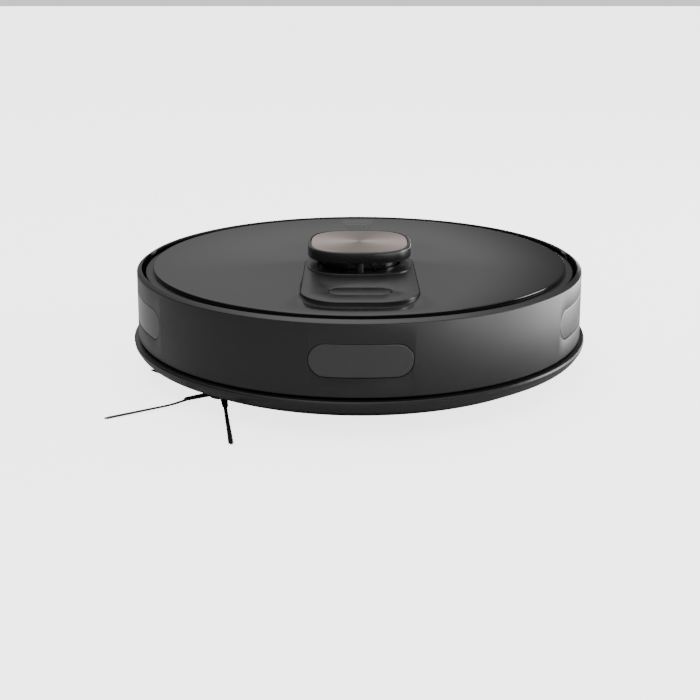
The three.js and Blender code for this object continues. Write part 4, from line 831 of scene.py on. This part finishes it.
# %% Wheels
def tread(low_x, high_x, radius, bore, lugs=26, groove=1.6):
    """Radius = outer less a smooth groove where angle * lugs + chevron slope falls near a whole number."""
    width = high_x - low_x
    turn = np.linspace(0, 2 * math.pi, lugs * 12, endpoint=False)
    share = np.concatenate([np.linspace(0, 1, 33)])
    middle = np.abs(share - 0.5) * 2
    phase = (turn[None] * lugs / (2 * math.pi) + middle[:, None] * 0.9) % 1
    depth = groove * np.clip(1.5 - np.abs(phase - 0.5) * 8, 0, 1) * (middle[:, None] > 0.08)
    reach = radius - depth - 1.2 * np.clip((middle[:, None] - 0.86) / 0.14, 0, 1) ** 2
    along = low_x + share * width
    outer = np.stack([np.broadcast_to(along[:, None], reach.shape),
                      reach * np.cos(turn), reach * np.sin(turn)], axis=-1)
    rim = np.full((1, len(turn)), float(bore))
    close = [np.stack([np.full_like(rim, x), rim * np.cos(turn), rim * np.sin(turn)], axis=-1)
             for x in (low_x, high_x)]
    points = np.concatenate([close[0], outer, close[1], close[0]])
    return grid(points)


for side, sign in (("left", 1), ("right", -1)):
    low, high = span(f"tyre_{side}")
    axle_y, axle_z = (low[1] + high[1]) / 2, (low[2] + high[2]) / 2
    radius = (high[2] - low[2]) / 2
    points, faces = tread(low[0], high[0], radius, radius - 8)
    tyre = make(f"tread_{side}", (points + [0, axle_y, axle_z], faces), crease=50)
    place(tyre, f"wheel_{side}", "tyre", tyre_rubber, f"tyre_{side}")
    inner = low[0] if sign > 0 else high[0]
    hub_radius = radius - 8.3
    section = [(0, 0), (hub_radius, 0), (hub_radius, 21), (hub_radius - 4, 21), (hub_radius - 4.6, 16), (9, 16),
               (7, 20), (0, 20)]
    corners = [(r, z, 0.5 if 0 < r < 26 and z > 0 else 0) for r, z in section]
    points, faces = laid_along_x(turned(rounded(corners, 4, closed=False), 128), (axle_y, axle_z))
    points = points * [sign, 1, 1] + [inner, 0, 0]
    hub = make(f"hub_{side}", (points, faces))
    ring = hub_radius - 9
    holes = [laid_along_x(turned([(0, 3), (4, 3), (4, 30), (0, 30)], 32),
                          (axle_y + ring * math.cos(t), axle_z + ring * math.sin(t)))
             for t in np.arange(5) * 2 * math.pi / 5]
    carve(hub, *[(p * [sign, 1, 1] + [inner, 0, 0], f) for p, f in holes], edge=0.3)
    stub = laid_along_x(turned([(0, -9), (4, -9), (4, 1), (0, 1)], 48), (axle_y, axle_z))
    weld(hub, (stub[0] * [sign, 1, 1] + [inner, 0, 0], stub[1]))
    place(hub, f"wheel_{side}", "inner_plastic", grey_abs, f"wheel_hub_{side}")

low, high = span("caster_wheel")
half, radius = high[0], (high[2] - low[2]) / 2
section = rounded([(1.9, -half, 0.3), (radius, -half, 2.2), (radius, half, 2.2), (1.9, half, 0.3)], 6)
caster_axle = ((low[1] + high[1]) / 2, (low[2] + high[2]) / 2)
wheel = make("caster_roll", laid_along_x(turned(section, 128), caster_axle))
place(wheel, "caster_roll", "inner_plastic", grey_abs, "caster_wheel")

# %% [markdown]
# The side brush turns by the right front edge and sweeps dirt under the machine. Each arm is a moulded
# holder that tapers outwards, with a bundle of nylon filaments set in its tip. A real filament is
# 0.2 mm thick; they are drawn 0.3 mm thick so that fewer fill the bundle. The arms slope to the floor.

# %% Side brush
hub_high = span("side_brush_hub")[1]
brush = np.array([-97.252, -100.708])
arm_angles = np.radians(-80.0 + 72.0 * np.arange(5))
slope = math.tan(math.radians(1.6))


def arm(angle, near, far, width, thickness, root_z, rows=24, sides=20):
    """A tapered bar with an oval section whose middle falls by the slope as it runs outwards."""
    share = np.linspace(0, 1, rows)
    reach = near + (far - near) * share
    shrink = np.where(share > 0.9, np.sqrt(np.clip(1 - ((share - 0.9) / 0.1) ** 2, 0.04, 1)), 1)
    wide = width / 2 * (1 - 0.3 * share) * shrink
    thick = thickness / 2 * (1 - 0.15 * share) * shrink
    turn = np.linspace(0, 2 * math.pi, sides, endpoint=False)
    side = wide[:, None] * np.sign(np.cos(turn)) * np.abs(np.cos(turn)) ** 0.6
    up = thick[:, None] * np.sign(np.sin(turn)) * np.abs(np.sin(turn)) ** 0.6 - reach[:, None] * slope
    x = brush[0] + reach[:, None] * math.cos(angle) - side * math.sin(angle)
    y = brush[1] + reach[:, None] * math.sin(angle) + side * math.cos(angle)
    points, faces = grid(np.stack([x, y, up + root_z], axis=-1))
    count, last = sides, (rows - 1) * sides
    return points, faces.tolist() + [list(range(count))[::-1], list(range(last, last + count))]


holder_z = -3.7
hub_section = rounded([(0, -4.9, 0), (12, -4.9, 1.5), (11, -0.6, 0.6), (4, -0.6, 0.3), (4, hub_high[2], 0.3),
                       (0, hub_high[2], 0)], 6, closed=False)
brush_hub = make("brush_hub", turned(hub_section, 96, tuple(brush)))
weld(brush_hub, *[arm(a, 8, 29, 5.6, 2.4, holder_z) for a in arm_angles])
place(brush_hub, "side_brush", "shell", shell_abs, "side_brush_hub")


def filaments(count=64, seed=7):
    """Thin four-sided tubes: each starts in the tip of a holder and fans out a little as it goes.

    Middle line: sideways = start + fan * share ** 2, height = start - slope * reach."""
    random = np.random.default_rng(seed)
    rows, sides = 13, 4
    share = np.linspace(0, 1, rows)
    angle = np.repeat(arm_angles, count)
    total = len(angle)
    spot = random.uniform(-1, 1, (total, 2))
    far = 86 - random.uniform(0, 5, total) * np.abs(spot[:, 0]) - random.uniform(0, 1.2, total)
    reach = 20 + (far[:, None] - 20) * share
    sideways = spot[:, :1] * (1.15 + 0.55 * share ** 2)
    settle = np.clip((reach - 24) / 14, 0, 1)
    height = -3.9 - 1.85 * settle + 0.34 * spot[:, 1:] * (1 - 0.3 * share) - reach * slope
    middle = np.stack([brush[0] + reach * np.cos(angle)[:, None] - sideways * np.sin(angle)[:, None],
                       brush[1] + reach * np.sin(angle)[:, None] + sideways * np.cos(angle)[:, None],
                       height], axis=-1)
    turn = np.arange(sides) * math.pi / 2
    thick = 0.15 * (1 - 0.3 * share)[None, :, None]
    wide = np.stack([-np.sin(angle), np.cos(angle), np.zeros(total)], axis=-1)[:, None, None, :]
    points = middle[:, :, None] + (thick * np.cos(turn))[..., None] * wide
    points[..., 2] += thick * np.sin(turn)
    index = np.arange(points[..., 0].size).reshape(total, rows, sides)
    ring = np.roll(index, -1, axis=2)
    faces = np.stack([index[:, :-1], ring[:, :-1], ring[:, 1:], index[:, 1:]], axis=-1).reshape(-1, 4)
    ends = np.concatenate([index[:, 0, ::-1], index[:, -1]])
    return points.reshape(-1, 3), np.concatenate([faces, ends])


tufts = make("brush_filaments", filaments())
disc_edge = rounded([(0, -6.2, 0), (10, -6.2, 0.4), (10, -5.2, 0.3), (0, -5.2, 0)], 4, closed=False)
disc = turned(disc_edge, 64, tuple(brush))
plate = make("brush_plate", disc)
place(plate, "side_brush", "bristle", filament, "side_brush_bristles")
place(tufts, "side_brush", "bristle", filament)

# %% [markdown]
# What is left are the working parts under the floor and inside, which keep the CAD's own shape. Each
# gets the finish that its real counterpart has.

# %% Finishes of the CAD pieces
finishes = {
    "battery_door": shell_abs, "caster_carrier": shell_abs, "impeller": shell_abs,
    "roller_housing": grey_abs, "roller_gearbox": grey_abs, "side_brush_gearbox": grey_abs,
    "caster_socket": grey_abs, "blower_housing": grey_abs, "wheel_gearbox_left": grey_abs,
    "wheel_gearbox_right": grey_abs, "lidar_motor_pulley": zinc_steel, "roller_core": grey_abs,
    "roller_frame": red_abs, "roller_blades": blade_urethane, "bumper_switch_left": red_abs,
    "bumper_switch_right": red_abs, "lidar_belt": tyre_rubber, "lidar_motor": zinc_steel,
    "blower_motor": zinc_steel, "speaker": zinc_steel, "suspension_spring_left": zinc_steel,
    "suspension_spring_right": zinc_steel, "base_screw_1": zinc_steel, "base_screw_2": zinc_steel,
    "base_screw_3": zinc_steel, "base_screw_4": zinc_steel, "charge_contact_left": gold_flash,
    "charge_contact_right": gold_flash, "cliff_window_left": window_pc, "cliff_window_right": window_pc,
    "lidar_lens": window_pc, "main_board": solder_mask, "battery_pack": cell_sleeve,
    "bin_filter": filter_paper,
}
for node, material in finishes.items():
    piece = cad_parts[node]
    piece.data.materials.clear()
    piece.data.materials.append(material)
left_plain = [n for n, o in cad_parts.items() if not o.hide_render and n not in finishes]
print("CAD pieces without a finish:", left_plain)

# %% [markdown]
# The stage: one pale matt floor that runs far back, a soft sky, and soft lamps. Gloss black shows what
# surrounds it, so a black machine in a white room would look grey. A studio hides that with black
# cards; here the floor and the sky are white to the lens, and dimmer where the plastics mirror them.
# The sky that the panel mirrors fades from left to right, a tall box stands at the right edge, and the
# floor beyond that edge glows for the shell that mirrors it.

# %% Floor
wide, deep = np.meshgrid(np.linspace(-20000, 20000, 9), np.linspace(-8000, 60000, 9))
points, faces = grid(np.stack([wide, deep, np.full_like(wide, floor_z - 0.05)], axis=-1), wrap=False)
floor = make("floor", (points, faces))
floor_paint, tree, shader = new_material("plaster_white_floor", "#b9b9b8", 0.95)
seen = add_node(tree, "ShaderNodeLightPath")
glow = add_node(tree, "ShaderNodeEmission", {"Color": linear("#ffffff"), "Strength": 3.0})
paint = add_node(tree, "ShaderNodeBsdfDiffuse", {"Color": linear("#e6e6e5")})
lit = add_node(tree, "ShaderNodeAddShader", {0: glow.outputs[0], 1: paint.outputs[0]})
spot = add_node(tree, "ShaderNodeTexCoord")
axes = add_node(tree, "ShaderNodeSeparateXYZ", {"Vector": spot.outputs["Object"]})
beside = add_node(tree, "ShaderNodeMapRange", {
    "Value": axes.outputs["X"], "From Min": 0.24, "From Max": 0.44, "To Min": 0.0, "To Max": 5.5})
beside.interpolation_type = "SMOOTHSTEP"
shader.inputs["Emission Color"].default_value = linear("#ffffff")
tree.links.new(beside.outputs["Result"], shader.inputs["Emission Strength"])
choice = add_node(tree, "ShaderNodeMixShader", {
    0: seen.outputs["Is Camera Ray"], 1: shader.outputs[0], 2: lit.outputs[0]})
tree.links.new(choice.outputs[0], tree.nodes["Material Output"].inputs["Surface"])
floor.data.materials.append(floor_paint)

# %% Sky and lamps
world = bpy.data.worlds.new("studio")
world.use_nodes = True
bpy.context.scene.world = world
tree = world.node_tree
direction = add_node(tree, "ShaderNodeTexCoord")
parts = add_node(tree, "ShaderNodeSeparateXYZ", {"Vector": direction.outputs["Generated"]})
fade = add_node(tree, "ShaderNodeMapRange", {
    "Value": parts.outputs["X"], "From Min": 0.05, "From Max": 0.24, "To Min": 0.30, "To Max": 0.07})
fade.interpolation_type = "SMOOTHSTEP"
left = add_node(tree, "ShaderNodeMapRange", {
    "Value": parts.outputs["X"], "From Min": -0.75, "From Max": -0.35, "To Min": 0.12, "To Max": 1.0})
left.interpolation_type = "SMOOTHSTEP"
even = add_node(tree, "ShaderNodeMapRange", {
    "Value": parts.outputs["Z"], "From Min": 0.2, "From Max": 0.42, "To Min": 1.0, "To Max": 2.3})
glow_wide = add_node(tree, "ShaderNodeMath", {0: fade.outputs["Result"], 1: left.outputs["Result"]},
                     operation="MULTIPLY")
glow_low = add_node(tree, "ShaderNodeMath", {0: glow_wide.outputs[0], 1: even.outputs["Result"]},
                    operation="MULTIPLY")
rise = add_node(tree, "ShaderNodeMapRange", {
    "Value": parts.outputs["Z"], "From Min": 0.45, "From Max": 0.8, "To Min": 0.0, "To Max": 0.7})
sky = add_node(tree, "ShaderNodeMath", {0: glow_low.outputs[0], 1: rise.outputs["Result"]}, operation="ADD")
seen = add_node(tree, "ShaderNodeLightPath")
level = add_node(tree, "ShaderNodeMix", {
    "Factor": seen.outputs["Is Camera Ray"], "A": sky.outputs[0], "B": 1.0}, data_type="FLOAT")
tree.nodes["Background"].inputs["Color"].default_value = linear("#ffffff")
tree.links.new(level.outputs["Result"], tree.nodes["Background"].inputs["Strength"])


def lamp(name, place_at, aim, size, power, tall=None):
    """A soft rectangular lamp at a place, turned to shine at a point (metres, watts)."""
    light = bpy.data.lights.new(name, "AREA")
    light.shape, light.size, light.size_y, light.energy = "RECTANGLE", size, tall or size, power
    thing = bpy.data.objects.new(name, light)
    bpy.context.scene.collection.objects.link(thing)
    back = np.array(place_at, float) - aim
    back /= np.linalg.norm(back)
    side = np.cross([0, 0, 1], back)
    side /= np.linalg.norm(side)
    axes = np.column_stack([side, np.cross(back, side), back, place_at])
    thing.matrix_world = Matrix(axes.tolist() + [[0, 0, 0, 1]])
    return thing


lamp("overhead", (0.1, -0.2, 2.2), (0, 0, 0), 2.5, 25)
lamp("right_box", (1.3, 0.25, 0.25), (0, 0, 0.05), 0.5, 14, 0.9)
